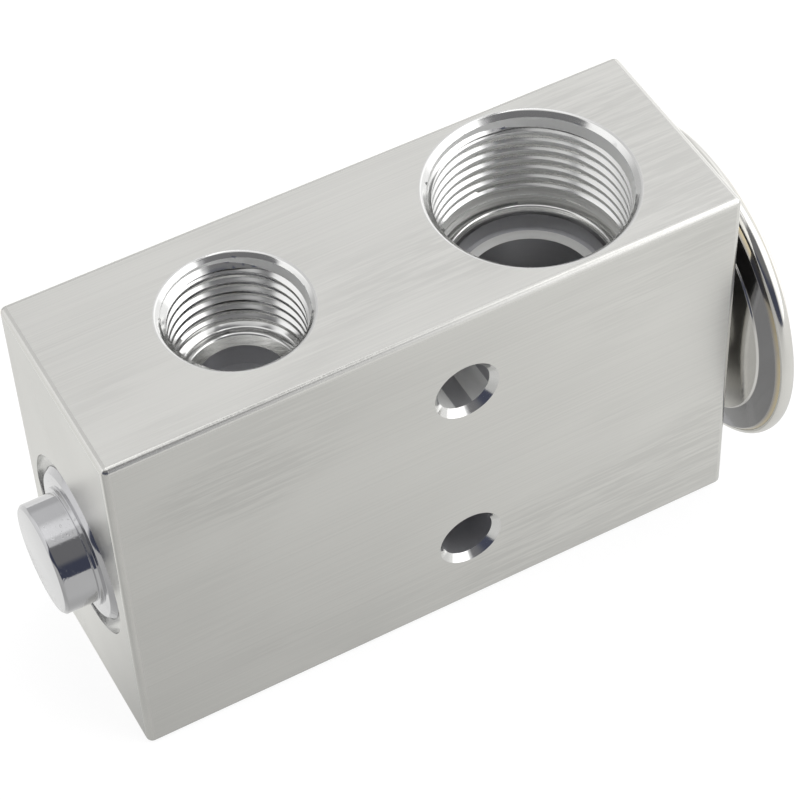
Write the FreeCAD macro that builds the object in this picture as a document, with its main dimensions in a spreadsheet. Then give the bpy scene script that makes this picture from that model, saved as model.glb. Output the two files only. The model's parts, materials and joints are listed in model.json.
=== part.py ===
"""Thermostatic expansion valve of the block type, with four ports.

The axes are +X towards the power head, +Y from the front face to the back one, +Z up.
The origin is on the bottom face of the block, on which the valve lies, in the middle of
its depth and in line with the mounting holes.
All sizes are in millimetres and are kept in the spreadsheet named Sizes.
"""
import FreeCAD, Part
import math
import os

import Sketcher

doc = FreeCAD.newDocument("expansion_valve")
sheet = doc.addObject("Spreadsheet::Sheet", "Sizes")


# Sizes and the arithmetic that binds them to the features


class Size:
    """A number together with the expression that gives it in the document."""

    def __init__(self, value, text):
        self.value = value
        self.text = text

    def __add__(self, other):
        return combined(self, "+", other, lambda a, b: a + b)

    def __radd__(self, other):
        return combined(other, "+", self, lambda a, b: a + b)

    def __sub__(self, other):
        return combined(self, "-", other, lambda a, b: a - b)

    def __rsub__(self, other):
        return combined(other, "-", self, lambda a, b: a - b)

    def __mul__(self, other):
        return combined(self, "*", other, lambda a, b: a * b)

    def __truediv__(self, other):
        return combined(self, "/", other, lambda a, b: a / b)

    def __neg__(self):
        return Size(-self.value, f"(0 - {self.text})")


def as_size(number):
    """Return a plain number as a Size, and a Size as it is."""
    if isinstance(number, Size):
        return number
    return Size(float(number), repr(number))


def combined(first, sign, second, work):
    """Return the Size that one operation on two others gives."""
    a = as_size(first)
    b = as_size(second)
    return Size(work(a.value, b.value), f"({a.text} {sign} {b.text})")


def size(alias, value):
    """Write one size into the next row of the sheet and return it."""
    size.row += 1
    sheet.set(f"A{size.row}", alias)
    sheet.set(f"B{size.row}", str(value))
    sheet.setAlias(f"B{size.row}", alias)
    return Size(value, f"Sizes.{alias}")


size.row = 0

# Block
block_length = size("block_length", 79.0)
block_depth = size("block_depth", 27.4)
block_height = size("block_height", 50.6)
edge_round = size("edge_round", 0.8)
axis_height = size("axis_height", 23.2)

# Threads of the ports: the bored wall stands at their crests
thread_height = size("thread_height", 0.7)
liquid_thread_radius = size("liquid_thread_radius", 8.4)
suction_thread_radius = size("suction_thread_radius", 12.0)
mouth_margin = size("mouth_margin", 0.42)

# Places along the block, all from its left end
inlet_station = size("inlet_station", 22.3)
outlet_station = size("outlet_station", 30.5)
holes_station = size("holes_station", 43.35)
suction_station = size("suction_station", 59.5)

# Liquid ports, depths from the face that each opens into
liquid_floor_depth = size("liquid_floor_depth", 10.9)
liquid_floor_corner = size("liquid_floor_corner", 0.45)
liquid_well_radius = size("liquid_well_radius", 5.5)
liquid_cone_width = size("liquid_cone_width", 0.85)
liquid_cone_depth = size("liquid_cone_depth", 1.15)
liquid_well_length = size("liquid_well_length", 3.0)
liquid_passage_radius = size("liquid_passage_radius", 2.6)

# Suction ports and the passage between them
suction_floor_depth = size("suction_floor_depth", 13.4)
suction_well_radius = size("suction_well_radius", 9.5)
suction_cone_width = size("suction_cone_width", 0.5)
suction_cone_depth = size("suction_cone_depth", 1.0)
suction_well_length = size("suction_well_length", 2.1)
suction_passage_radius = size("suction_passage_radius", 8.0)
suction_lip_width = size("suction_lip_width", 0.9)
suction_lip_depth = size("suction_lip_depth", 0.5)

# Mounting holes through the depth of the block
mount_middle_height = size("mount_middle_height", 25.1)
mount_spacing = size("mount_spacing", 26.8)
mount_hole_radius = size("mount_hole_radius", 3.3)
mount_chamfer = size("mount_chamfer", 0.8)

# Recess and closing plug at the spring end
recess_radius = size("recess_radius", 11.1)
recess_depth = size("recess_depth", 1.0)
plug_thread_radius = size("plug_thread_radius", 8.0)
plug_bore_length = size("plug_bore_length", 5.0)
plug_shank_length = size("plug_shank_length", 4.4)
plug_flange_radius = size("plug_flange_radius", 9.55)
plug_flange_proud = size("plug_flange_proud", 0.2)
plug_flange_bevel = size("plug_flange_bevel", 0.65)
plug_collar_radius = size("plug_collar_radius", 7.3)
plug_collar_height = size("plug_collar_height", 0.45)
plug_stub_radius = size("plug_stub_radius", 6.75)
plug_stub_reach = size("plug_stub_reach", 4.64)
plug_stub_chamfer = size("plug_stub_chamfer", 0.35)
plug_groove_width = size("plug_groove_width", 1.5)
plug_groove_radius = size("plug_groove_radius", 6.6)
plug_hollow_radius = size("plug_hollow_radius", 4.6)
plug_hollow_depth = size("plug_hollow_depth", 2.6)

# Spring chamber and its setting screw
chamber_radius = size("chamber_radius", 6.5)
chamber_length = size("chamber_length", 19.3)
screw_gap = size("screw_gap", 0.3)
screw_length = size("screw_length", 3.5)
screw_boss_radius = size("screw_boss_radius", 3.3)
screw_boss_length = size("screw_boss_length", 1.0)
screw_socket_width = size("screw_socket_width", 5.0)
screw_socket_depth = size("screw_socket_depth", 2.4)
screw_bleed_radius = size("screw_bleed_radius", 1.2)

# Superheat spring
wire_radius = size("wire_radius", 0.6)
coil_radius = size("coil_radius", 4.3)
coil_pitch = size("coil_pitch", 1.95)
ground_part = size("ground_part", 0.3)

# Ball, seat and carrier
ball_radius = size("ball_radius", 3.0)
seat_radius = size("seat_radius", 4.0)
seat_length = size("seat_length", 2.5)
orifice_radius = size("orifice_radius", 1.8)
seat_cone_depth = size("seat_cone_depth", 0.8)
closed_gap = size("closed_gap", 0.02)
carrier_radius = size("carrier_radius", 5.2)
carrier_thickness = size("carrier_thickness", 1.5)
carrier_boss_length = size("carrier_boss_length", 2.05)
carrier_cup_radius = size("carrier_cup_radius", 3.5)
damper_thickness = size("damper_thickness", 0.25)
damper_finger_width = size("damper_finger_width", 2.0)
damper_finger_length = size("damper_finger_length", 2.6)
damper_finger_reach = size("damper_finger_reach", 0.85)

# Outlet cavity, pin and sensing rod
cavity_radius = size("cavity_radius", 3.4)
cavity_length = size("cavity_length", 5.7)
pin_radius = size("pin_radius", 1.1)
pin_depth = size("pin_depth", 1.8)
rod_radius = size("rod_radius", 3.0)
rod_gap = size("rod_gap", 0.6)
seal_pocket_radius = size("seal_pocket_radius", 5.0)
seal_pocket_depth = size("seal_pocket_depth", 3.0)
retainer_thickness = size("retainer_thickness", 0.5)
retainer_notch = size("retainer_notch", 0.7)
equalizing_radius = size("equalizing_radius", 4.2)

# Power head
neck_thread_radius = size("neck_thread_radius", 9.0)
neck_bore_length = size("neck_bore_length", 8.0)
neck_length = size("neck_length", 7.5)
neck_hollow_radius = size("neck_hollow_radius", 6.0)
neck_undercut_radius = size("neck_undercut_radius", 8.5)
neck_chamfer = size("neck_chamfer", 1.5)
shoulder_radius = size("shoulder_radius", 11.0)
shoulder_height = size("shoulder_height", 1.0)
hub_radius = size("hub_radius", 16.6)
hub_rise = size("hub_rise", 0.65)
hub_step = size("hub_step", 0.25)
shell_radius = size("shell_radius", 20.05)
shell_rise = size("shell_rise", 0.4)
clamp_setback = size("clamp_setback", 2.25)
shell_corner = size("shell_corner", 0.45)
diaphragm_place = size("diaphragm_place", 3.5)
diaphragm_thickness = size("diaphragm_thickness", 0.2)
diaphragm_wave = size("diaphragm_wave", 0.22)
pad_radius = size("pad_radius", 13.4)
pad_thickness = size("pad_thickness", 0.6)
pad_room = size("pad_room", 0.7)
pad_hub_radius = size("pad_hub_radius", 4.6)
pad_hub_length = size("pad_hub_length", 3.4)
lid_rim_height = size("lid_rim_height", 0.7)
lid_height = size("lid_height", 3.8)
lid_top_radius = size("lid_top_radius", 14.4)
lid_sheet = size("lid_sheet", 1.0)
dimple_radius = size("dimple_radius", 3.5)
dimple_depth = size("dimple_depth", 0.7)
charge_hole_radius = size("charge_hole_radius", 1.5)
charge_plug_radius = size("charge_plug_radius", 1.9)
weld_height = size("weld_height", 0.7)
weld_width = size("weld_width", 1.75)
weld_round = size("weld_round", 0.55)

# Play between parts that fit into each other
thread_play = size("thread_play", 0.1)
slide_play = size("slide_play", 0.05)
press_play = size("press_play", 0.02)
seal_play = size("seal_play", 0.02)

# Stations along the length that more than one part uses
left_end = -holes_station
right_end = block_length - holes_station
inlet_place = inlet_station - holes_station
outlet_place = outlet_station - holes_station
suction_place = suction_station - holes_station
recess_floor = left_end + recess_depth
plug_bore_end = recess_floor + plug_bore_length
screw_left = plug_bore_end + screw_gap
screw_right = screw_left + screw_length
chamber_end = plug_bore_end + chamber_length
seat_end = chamber_end + seat_length
cavity_end = seat_end + cavity_length
cone_tip = chamber_end + seat_cone_depth + orifice_radius
ball_place = cone_tip - ball_radius * math.sqrt(2.0) - closed_gap
carrier_cup = ball_place - ball_radius * 0.5
carrier_front = carrier_cup - 1.05
carrier_back = carrier_front - carrier_thickness
spring_end = carrier_back - damper_thickness
pin_tip = ball_place + ball_radius
rod_left = cavity_end + rod_gap
seal_pocket_start = suction_place - suction_passage_radius - seal_pocket_depth
seal_radius = (seal_pocket_radius - rod_radius) / 2 - seal_play
seal_middle = (seal_pocket_radius + rod_radius) / 2
seal_place = seal_pocket_start + seal_radius + seal_play
retainer_place = seal_place + seal_radius + seal_play
neck_bore_start = right_end - neck_bore_length
diaphragm_plane = right_end + diaphragm_place
pad_face = diaphragm_plane - press_play
pad_back = pad_face - pad_thickness
pad_floor = pad_back - pad_room
pad_hub_end = pad_back - pad_hub_length
rod_right = pad_back - 0.5
lid_plane = diaphragm_plane + diaphragm_thickness
liquid_minor_radius = liquid_thread_radius - thread_height
suction_minor_radius = suction_thread_radius - thread_height
doc.recompute()


# Helpers for sketches and features


def origin_plane(body, role):
    """Return one of the body's own origin planes."""
    return next(part for part in body.Origin.OriginFeatures if part.Role == role)


def new_body(name):
    """Return an empty body whose Label is the name of its part."""
    body = doc.addObject("PartDesign::Body", name)
    body.Label = name
    return body


def new_sketch(body, name, role, offset=None):
    """Return a sketch on one of the body's planes, moved along its normal if asked."""
    sketch = body.newObject("Sketcher::SketchObject", name)
    sketch.AttachmentSupport = (origin_plane(body, role), [""])
    sketch.MapMode = "FlatFace"
    if offset is not None:
        sketch.AttachmentOffset = FreeCAD.Placement(
            FreeCAD.Vector(0, 0, offset.value), FreeCAD.Rotation()
        )
        sketch.setExpression("AttachmentOffset.Base.z", offset.text)
    return sketch


def bind(sketch, kind, *where, to):
    """Add a dimension to a sketch and bind it to a Size."""
    index = sketch.addConstraint(Sketcher.Constraint(kind, *where, to.value))
    sketch.setExpression(f"Constraints[{index}]", to.text)


def place_point(sketch, line, end, across, up):
    """Fix one end of a line by its two distances from the sketch's origin."""
    bind(sketch, "DistanceX", -1, 1, line, end, to=as_size(across))
    bind(sketch, "DistanceY", -1, 1, line, end, to=as_size(up))


def outline(sketch, corners):
    """Draw a closed polygon through the corners, each given by two Sizes."""
    points = [FreeCAD.Vector(as_size(a).value, as_size(b).value, 0) for a, b in corners]
    lines = []
    for start, end in zip(points, points[1:] + points[:1]):
        lines.append(sketch.addGeometry(Part.LineSegment(start, end), False))
    for line, following in zip(lines, lines[1:] + lines[:1]):
        sketch.addConstraint(Sketcher.Constraint("Coincident", line, 2, following, 1))
    for line, (across, up) in zip(lines, corners):
        place_point(sketch, line, 1, across, up)


def centre_line(sketch, start, end):
    """Draw the construction line that a cut turns about. It is drawn before the outline."""
    points = [FreeCAD.Vector(as_size(a).value, as_size(b).value, 0) for a, b in (start, end)]
    line = sketch.addGeometry(Part.LineSegment(*points), True)
    place_point(sketch, line, 1, *start)
    place_point(sketch, line, 2, *end)


def circle(sketch, across, up, radius):
    """Draw a circle whose middle and radius are Sizes."""
    middle = FreeCAD.Vector(as_size(across).value, as_size(up).value, 0)
    ring = sketch.addGeometry(Part.Circle(middle, FreeCAD.Vector(0, 0, 1), radius.value), False)
    place_point(sketch, ring, 3, across, up)
    bind(sketch, "Radius", ring, to=radius)


def turned(body, name, corners):
    """Add a solid turned about the body's X axis from an outline of (along, radius)."""
    sketch = new_sketch(body, name + "_profile", "XZ_Plane")
    outline(sketch, corners)
    feature = body.newObject("PartDesign::Revolution", name)
    feature.Profile = sketch
    feature.ReferenceAxis = (sketch, ["H_Axis"])
    feature.Angle = 360
    body.Tip = feature
    return feature


def ring_of(body, name, along, middle_radius, section_radius):
    """Add a ring of round section about the body's X axis."""
    sketch = new_sketch(body, name + "_section", "XZ_Plane")
    circle(sketch, along, middle_radius, section_radius)
    feature = body.newObject("PartDesign::Revolution", name)
    feature.Profile = sketch
    feature.ReferenceAxis = (sketch, ["H_Axis"])
    feature.Angle = 360
    body.Tip = feature
    return feature


def bored(body, name, axis_ends, corners):
    """Cut an outline turned about a centre line of its own out of the body."""
    sketch = new_sketch(body, name + "_profile", "XZ_Plane")
    centre_line(sketch, *axis_ends)
    outline(sketch, corners)
    feature = body.newObject("PartDesign::Groove", name)
    feature.Profile = sketch
    feature.ReferenceAxis = (sketch, ["Axis0"])
    feature.Angle = 360
    body.Tip = feature
    return feature


def on_valve_axis(part):
    """Raise a part that was drawn about X to the axis of the valve."""
    part.Placement = FreeCAD.Placement(
        FreeCAD.Vector(0, 0, axis_height.value), FreeCAD.Rotation()
    )
    part.setExpression("Placement.Base.z", axis_height.text)


def round_edges(shape, chosen):
    """Name the circular edges of a shape that a test picks."""
    names = []
    for number, edge in enumerate(shape.Edges, 1):
        if edge.Degenerated:
            continue
        if isinstance(edge.Curve, Part.Circle) and chosen(edge):
            names.append(f"Edge{number}")
    return names


parts = []

# Block: an extruded bar with broken edges, bored from four sides

valve_body = new_body("valve_body")
blank_plan = new_sketch(valve_body, "blank_plan", "XY_Plane")
outline(
    blank_plan,
    [
        (left_end, -block_depth / 2),
        (right_end, -block_depth / 2),
        (right_end, block_depth / 2),
        (left_end, block_depth / 2),
    ],
)
blank = valve_body.newObject("PartDesign::Pad", "blank")
blank.Profile = blank_plan
blank.Length = block_height.value
blank.setExpression("Length", block_height.text)
valve_body.Tip = blank
doc.recompute()
broken_edges = valve_body.newObject("PartDesign::Fillet", "broken_edges")
broken_edges.Base = (blank, [f"Edge{n}" for n in range(1, len(blank.Shape.Edges) + 1)])
broken_edges.Radius = edge_round.value
broken_edges.setExpression("Radius", edge_round.text)
valve_body.Tip = broken_edges


def port_corners(place, face, inward, minor, thread, steps):
    """Outline of half a port: its mouth, its wall, then the steps as (radius, depth)."""
    mouth = thread + mouth_margin
    corners = [
        (place, face - inward),
        (place + mouth, face - inward),
        (place + mouth, face),
        (place + minor, face + (mouth - minor) * inward),
    ]
    for radius, depth in steps:
        corners.append((place + radius, face + depth * inward))
    return corners


# Suction ports, top and bottom, and the passage that joins them
suction_well_start = suction_floor_depth + suction_cone_depth
suction_well_floor = suction_well_start + suction_well_length
suction_steps = [
    (suction_minor_radius, suction_floor_depth),
    (suction_well_radius + suction_cone_width, suction_floor_depth),
    (suction_well_radius, suction_well_start),
    (suction_well_radius, suction_well_floor),
    (suction_passage_radius + suction_lip_width, suction_well_floor),
    (suction_passage_radius, suction_well_floor + suction_lip_depth),
]
suction_halves = [
    port_corners(
        suction_place,
        face,
        inward,
        suction_minor_radius,
        suction_thread_radius,
        suction_steps,
    )
    for face, inward in ((block_height, -1), (as_size(0), 1))
]
bored(
    valve_body,
    "suction_passage",
    [(suction_place, 0), (suction_place, block_height)],
    suction_halves[0] + suction_halves[1][::-1],
)

# Liquid ports: the inlet on top reaches the spring chamber, the outlet below the cavity
liquid_well_start = liquid_floor_depth + liquid_cone_depth
liquid_well_floor = liquid_well_start + liquid_well_length
liquid_steps = [
    (liquid_minor_radius, liquid_floor_depth - liquid_floor_corner),
    (liquid_minor_radius - liquid_floor_corner, liquid_floor_depth),
    (liquid_well_radius + liquid_cone_width, liquid_floor_depth),
    (liquid_well_radius, liquid_well_start),
    (liquid_well_radius, liquid_well_floor),
    (liquid_passage_radius, liquid_well_floor),
]
for port_name, port_place, port_face, port_inward in (
    ("inlet_port", inlet_place, block_height, -1),
    ("outlet_port", outlet_place, as_size(0), 1),
):
    bored(
        valve_body,
        port_name,
        [(port_place, 0), (port_place, block_height)],
        port_corners(
            port_place,
            port_face,
            port_inward,
            liquid_minor_radius,
            liquid_thread_radius,
            liquid_steps,
        )
        + [(port_place + liquid_passage_radius, axis_height), (port_place, axis_height)],
    )


def from_axis(radius):
    """Height in the block of a point at this radius above the axis of the valve."""
    return axis_height + radius


# Everything on the axis of the valve, from the recess of the plug to the neck of the head
neck_mouth_radius = neck_thread_radius + neck_chamfer
bored(
    valve_body,
    "axis_bore",
    [(left_end, axis_height), (right_end, axis_height)],
    [
        (left_end - 1, axis_height),
        (left_end - 1, from_axis(recess_radius)),
        (recess_floor, from_axis(recess_radius)),
        (recess_floor, from_axis(plug_thread_radius)),
        (plug_bore_end, from_axis(plug_thread_radius)),
        (plug_bore_end, from_axis(chamber_radius)),
        (chamber_end, from_axis(chamber_radius)),
        (chamber_end, from_axis(seat_radius)),
        (seat_end, from_axis(seat_radius)),
        (seat_end, from_axis(cavity_radius)),
        (cavity_end, from_axis(cavity_radius)),
        (cavity_end, from_axis(rod_radius + slide_play)),
        (seal_pocket_start, from_axis(rod_radius + slide_play)),
        (seal_pocket_start, from_axis(seal_pocket_radius)),
        (suction_place, from_axis(seal_pocket_radius)),
        (suction_place, from_axis(equalizing_radius)),
        (neck_bore_start, from_axis(equalizing_radius)),
        (neck_bore_start, from_axis(neck_thread_radius)),
        (right_end - neck_chamfer, from_axis(neck_thread_radius)),
        (right_end, from_axis(neck_mouth_radius)),
        (right_end + 1, from_axis(neck_mouth_radius)),
        (right_end + 1, axis_height),
    ],
)

# Two mounting holes through the depth, chamfered at both faces
mount_plan = new_sketch(valve_body, "mount_plan", "XZ_Plane")
for side in (-0.5, 0.5):
    circle(mount_plan, 0, mount_middle_height + mount_spacing * side, mount_hole_radius)
mount_holes = valve_body.newObject("PartDesign::Pocket", "mount_holes")
mount_holes.Profile = mount_plan
mount_holes.SideType = "Symmetric"
mount_holes.Length = block_depth.value + 2
mount_holes.setExpression("Length", (block_depth + 2).text)
valve_body.Tip = mount_holes
doc.recompute()


def is_mount_mouth(edge):
    """Tell whether an edge is the mouth of a mounting hole."""
    same_radius = abs(edge.Curve.Radius - mount_hole_radius.value) < 1e-4
    along_depth = abs(abs(edge.Curve.Axis.y) - 1) < 1e-6
    return same_radius and along_depth


mount_mouths = valve_body.newObject("PartDesign::Chamfer", "mount_mouths")
mount_mouths.Base = (mount_holes, round_edges(mount_holes.Shape, is_mount_mouth))
mount_mouths.Size = mount_chamfer.value
mount_mouths.setExpression("Size", mount_chamfer.text)
valve_body.Tip = mount_mouths
parts.append(valve_body)

# Closing plug: stub, thin collar, bevelled flange, ring groove and threaded shank

end_plug = new_body("end_plug")
stub_end = left_end - plug_stub_reach
flange_face = left_end - plug_flange_proud
collar_face = flange_face - plug_collar_height
shank_radius = plug_thread_radius - thread_play
shank_end = recess_floor + plug_shank_length
turned(
    end_plug,
    "plug_turning",
    [
        (stub_end, 0),
        (stub_end, plug_stub_radius - plug_stub_chamfer),
        (stub_end + plug_stub_chamfer, plug_stub_radius),
        (collar_face, plug_stub_radius),
        (collar_face, plug_collar_radius),
        (flange_face, plug_collar_radius),
        (flange_face, plug_flange_radius - plug_flange_bevel),
        (flange_face + plug_flange_bevel, plug_flange_radius),
        (recess_floor, plug_flange_radius),
        (recess_floor, plug_groove_radius),
        (recess_floor + plug_groove_width, plug_groove_radius),
        (recess_floor + plug_groove_width, shank_radius),
        (shank_end - 0.5, shank_radius),
        (shank_end, shank_radius - 0.5),
        (shank_end, plug_hollow_radius),
        (shank_end - plug_hollow_depth, plug_hollow_radius),
        (shank_end - plug_hollow_depth - plug_hollow_radius * 0.4, 0),
    ],
)
on_valve_axis(end_plug)
parts.append(end_plug)

plug_oring = new_body("plug_oring")
ring_of(
    plug_oring,
    "plug_ring",
    recess_floor + plug_groove_width / 2,
    (plug_thread_radius + plug_groove_radius) / 2,
    (plug_thread_radius - plug_groove_radius) / 2 - seal_play,
)
on_valve_axis(plug_oring)
parts.append(plug_oring)

# Setting screw: its face holds the spring, a hexagon socket turns it

adjusting_screw = new_body("adjusting_screw")
screw_radius = chamber_radius - thread_play
turned(
    adjusting_screw,
    "screw_turning",
    [
        (screw_left, screw_bleed_radius),
        (screw_left, screw_radius - 0.4),
        (screw_left + 0.4, screw_radius),
        (screw_right - 0.4, screw_radius),
        (screw_right, screw_radius - 0.4),
        (screw_right, screw_boss_radius),
        (screw_right + screw_boss_length - 0.3, screw_boss_radius),
        (screw_right + screw_boss_length, screw_boss_radius - 0.3),
        (screw_right + screw_boss_length, screw_bleed_radius),
    ],
)
socket_plan = new_sketch(adjusting_screw, "socket_plan", "YZ_Plane", screw_left)
socket_corner = screw_socket_width / math.sqrt(3.0)
outline(
    socket_plan,
    [
        (socket_corner * math.cos(math.radians(60 * n)), socket_corner * math.sin(math.radians(60 * n)))
        for n in range(6)
    ],
)
socket = adjusting_screw.newObject("PartDesign::Pocket", "socket")
socket.Profile = socket_plan
socket.Reversed = True
socket.Length = screw_socket_depth.value
socket.setExpression("Length", screw_socket_depth.text)
adjusting_screw.Tip = socket
on_valve_axis(adjusting_screw)
parts.append(adjusting_screw)

# Superheat spring: a coil whose ends are ground flat

superheat_spring = new_body("superheat_spring")
coil_start = screw_right + wire_radius - ground_part
coil_height = spring_end - screw_right - wire_radius * 2 + ground_part * 2
wire_section = new_sketch(superheat_spring, "wire_section", "XZ_Plane")
circle(wire_section, coil_start, coil_radius, wire_radius)
coil = superheat_spring.newObject("PartDesign::AdditiveHelix", "coil")
coil.Profile = wire_section
coil.ReferenceAxis = (wire_section, ["H_Axis"])
coil.Mode = "pitch-height-angle"
coil.Pitch = coil_pitch.value
coil.setExpression("Pitch", coil_pitch.text)
coil.Height = coil_height.value
coil.setExpression("Height", coil_height.text)
superheat_spring.Tip = coil
for grind_name, ground_face, beyond in (
    ("ground_left", screw_right, screw_right - 2),
    ("ground_right", spring_end, spring_end + 2),
):
    grind_profile = new_sketch(superheat_spring, grind_name + "_profile", "XZ_Plane")
    outline(
        grind_profile,
        [
            (ground_face, coil_radius - wire_radius * 2),
            (ground_face, coil_radius + wire_radius * 2),
            (beyond, coil_radius + wire_radius * 2),
            (beyond, coil_radius - wire_radius * 2),
        ],
    )
    grind = superheat_spring.newObject("PartDesign::Groove", grind_name)
    grind.Profile = grind_profile
    grind.ReferenceAxis = (grind_profile, ["H_Axis"])
    grind.Angle = 360
    superheat_spring.Tip = grind
on_valve_axis(superheat_spring)
parts.append(superheat_spring)

# Carrier: a boss that the spring fits over and a coned cup for the ball

ball_carrier = new_body("ball_carrier")
cup_touch = ball_place - ball_radius * math.sqrt(0.5)
cup_mouth = carrier_cup - cup_touch + ball_radius * math.sqrt(0.5)
cup_well_radius = ball_radius * 0.4
cup_well_start = carrier_cup - cup_mouth + cup_well_radius
turned(
    ball_carrier,
    "carrier_turning",
    [
        (carrier_back - carrier_boss_length, 0),
        (carrier_back - carrier_boss_length, screw_boss_radius - 0.4),
        (carrier_back - carrier_boss_length + 0.4, screw_boss_radius),
        (carrier_back, screw_boss_radius),
        (carrier_back, carrier_radius),
        (carrier_front, carrier_radius),
        (carrier_front + 0.4, carrier_cup_radius),
        (carrier_cup, carrier_cup_radius),
        (carrier_cup, cup_mouth),
        (cup_well_start, cup_well_radius),
        (cup_well_start - 0.4, cup_well_radius),
        (cup_well_start - 0.4, 0),
    ],
)
on_valve_axis(ball_carrier)
parts.append(ball_carrier)

# Damper: a flat ring held by the spring, with three fingers that brush the chamber

damper_spring = new_body("damper_spring")
damper_inner = screw_boss_radius + slide_play
turned(
    damper_spring,
    "damper_ring",
    [
        (spring_end, damper_inner),
        (spring_end, carrier_radius),
        (carrier_back, carrier_radius),
        (carrier_back, damper_inner),
    ],
)
finger_profile = new_sketch(damper_spring, "finger_profile", "XZ_Plane")
finger_root = carrier_radius + damper_thickness
finger_tip = carrier_radius + damper_finger_reach
outline(
    finger_profile,
    [
        (carrier_back, carrier_radius - 0.6),
        (carrier_back, finger_root),
        (carrier_back - damper_thickness, finger_root + damper_thickness * 0.4),
        (carrier_back - damper_finger_length, finger_tip + damper_thickness * 0.4),
        (carrier_back - damper_finger_length, finger_tip - damper_thickness * 0.6),
        (spring_end - damper_thickness * 0.4, finger_root - damper_thickness * 0.6),
        (spring_end, carrier_radius - 0.6),
    ],
)
finger = damper_spring.newObject("PartDesign::Pad", "finger")
finger.Profile = finger_profile
finger.SideType = "Symmetric"
finger.Length = damper_finger_width.value
finger.setExpression("Length", damper_finger_width.text)
damper_spring.Tip = finger
fingers = damper_spring.newObject("PartDesign::PolarPattern", "fingers")
fingers.Originals = [finger]
fingers.Axis = (finger_profile, ["H_Axis"])
fingers.Angle = 360
fingers.Occurrences = 3
damper_spring.Tip = fingers
on_valve_axis(damper_spring)
parts.append(damper_spring)

# Ball, seat, pin and sensing rod


def ball(name, along, radius):
    """Add a ball on the axis of the valve."""
    sphere = doc.addObject("Part::Sphere", name)
    sphere.Label = name
    sphere.Radius = radius.value
    sphere.setExpression("Radius", radius.text)
    sphere.Placement = FreeCAD.Placement(
        FreeCAD.Vector(along.value, 0, axis_height.value), FreeCAD.Rotation()
    )
    sphere.setExpression("Placement.Base.x", along.text)
    sphere.setExpression("Placement.Base.z", axis_height.text)
    return sphere


valve_ball = ball("valve_ball", ball_place, ball_radius)
parts.append(valve_ball)

valve_seat = new_body("valve_seat")
turned(
    valve_seat,
    "seat_turning",
    [
        (chamber_end, orifice_radius + seat_cone_depth),
        (chamber_end, seat_radius - press_play),
        (seat_end, seat_radius - press_play),
        (seat_end, orifice_radius),
        (chamber_end + seat_cone_depth, orifice_radius),
    ],
)
on_valve_axis(valve_seat)
parts.append(valve_seat)

push_pin = new_body("push_pin")
turned(
    push_pin,
    "pin_turning",
    [
        (pin_tip, 0),
        (pin_tip, pin_radius - 0.2),
        (pin_tip + 0.2, pin_radius),
        (rod_left + pin_depth, pin_radius),
        (rod_left + pin_depth, 0),
    ],
)
on_valve_axis(push_pin)
parts.append(push_pin)

sensing_rod = new_body("sensing_rod")
pin_hole_radius = pin_radius + press_play
turned(
    sensing_rod,
    "rod_turning",
    [
        (rod_left, pin_hole_radius),
        (rod_left, rod_radius - 0.4),
        (rod_left + 0.4, rod_radius),
        (rod_right - 0.4, rod_radius),
        (rod_right, rod_radius - 0.4),
        (rod_right, 0),
        (rod_left + pin_depth, 0),
        (rod_left + pin_depth, pin_hole_radius),
    ],
)
on_valve_axis(sensing_rod)
parts.append(sensing_rod)

rod_oring = new_body("rod_oring")
ring_of(rod_oring, "rod_ring", seal_place, seal_middle, seal_radius)
on_valve_axis(rod_oring)
parts.append(rod_oring)

# Retainer of the rod's ring: a thin washer with notches round its edge

seal_retainer = new_body("seal_retainer")
retainer_inner = rod_radius + 0.3
turned(
    seal_retainer,
    "retainer_ring",
    [
        (retainer_place, retainer_inner),
        (retainer_place, seal_pocket_radius - press_play),
        (retainer_place + retainer_thickness, seal_pocket_radius - press_play),
        (retainer_place + retainer_thickness, retainer_inner),
    ],
)
notch_plan = new_sketch(seal_retainer, "notch_plan", "YZ_Plane", retainer_place)
outline(
    notch_plan,
    [
        (-retainer_notch / 2, seal_pocket_radius - retainer_notch),
        (retainer_notch / 2, seal_pocket_radius - retainer_notch),
        (retainer_notch / 2, seal_pocket_radius + 0.5),
        (-retainer_notch / 2, seal_pocket_radius + 0.5),
    ],
)
notch = seal_retainer.newObject("PartDesign::Pocket", "notch")
notch.Profile = notch_plan
notch.SideType = "Symmetric"
notch.Length = retainer_thickness.value * 3
notch.setExpression("Length", (retainer_thickness * 3).text)
seal_retainer.Tip = notch
notches = seal_retainer.newObject("PartDesign::PolarPattern", "notches")
notches.Originals = [notch]
notches.Axis = (notch_plan, ["N_Axis"])
notches.Angle = 360
notches.Occurrences = 8
seal_retainer.Tip = notches
on_valve_axis(seal_retainer)
parts.append(seal_retainer)

# Power head: base with its threaded neck, pad, diaphragm, lid, weld and charge plug

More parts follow.
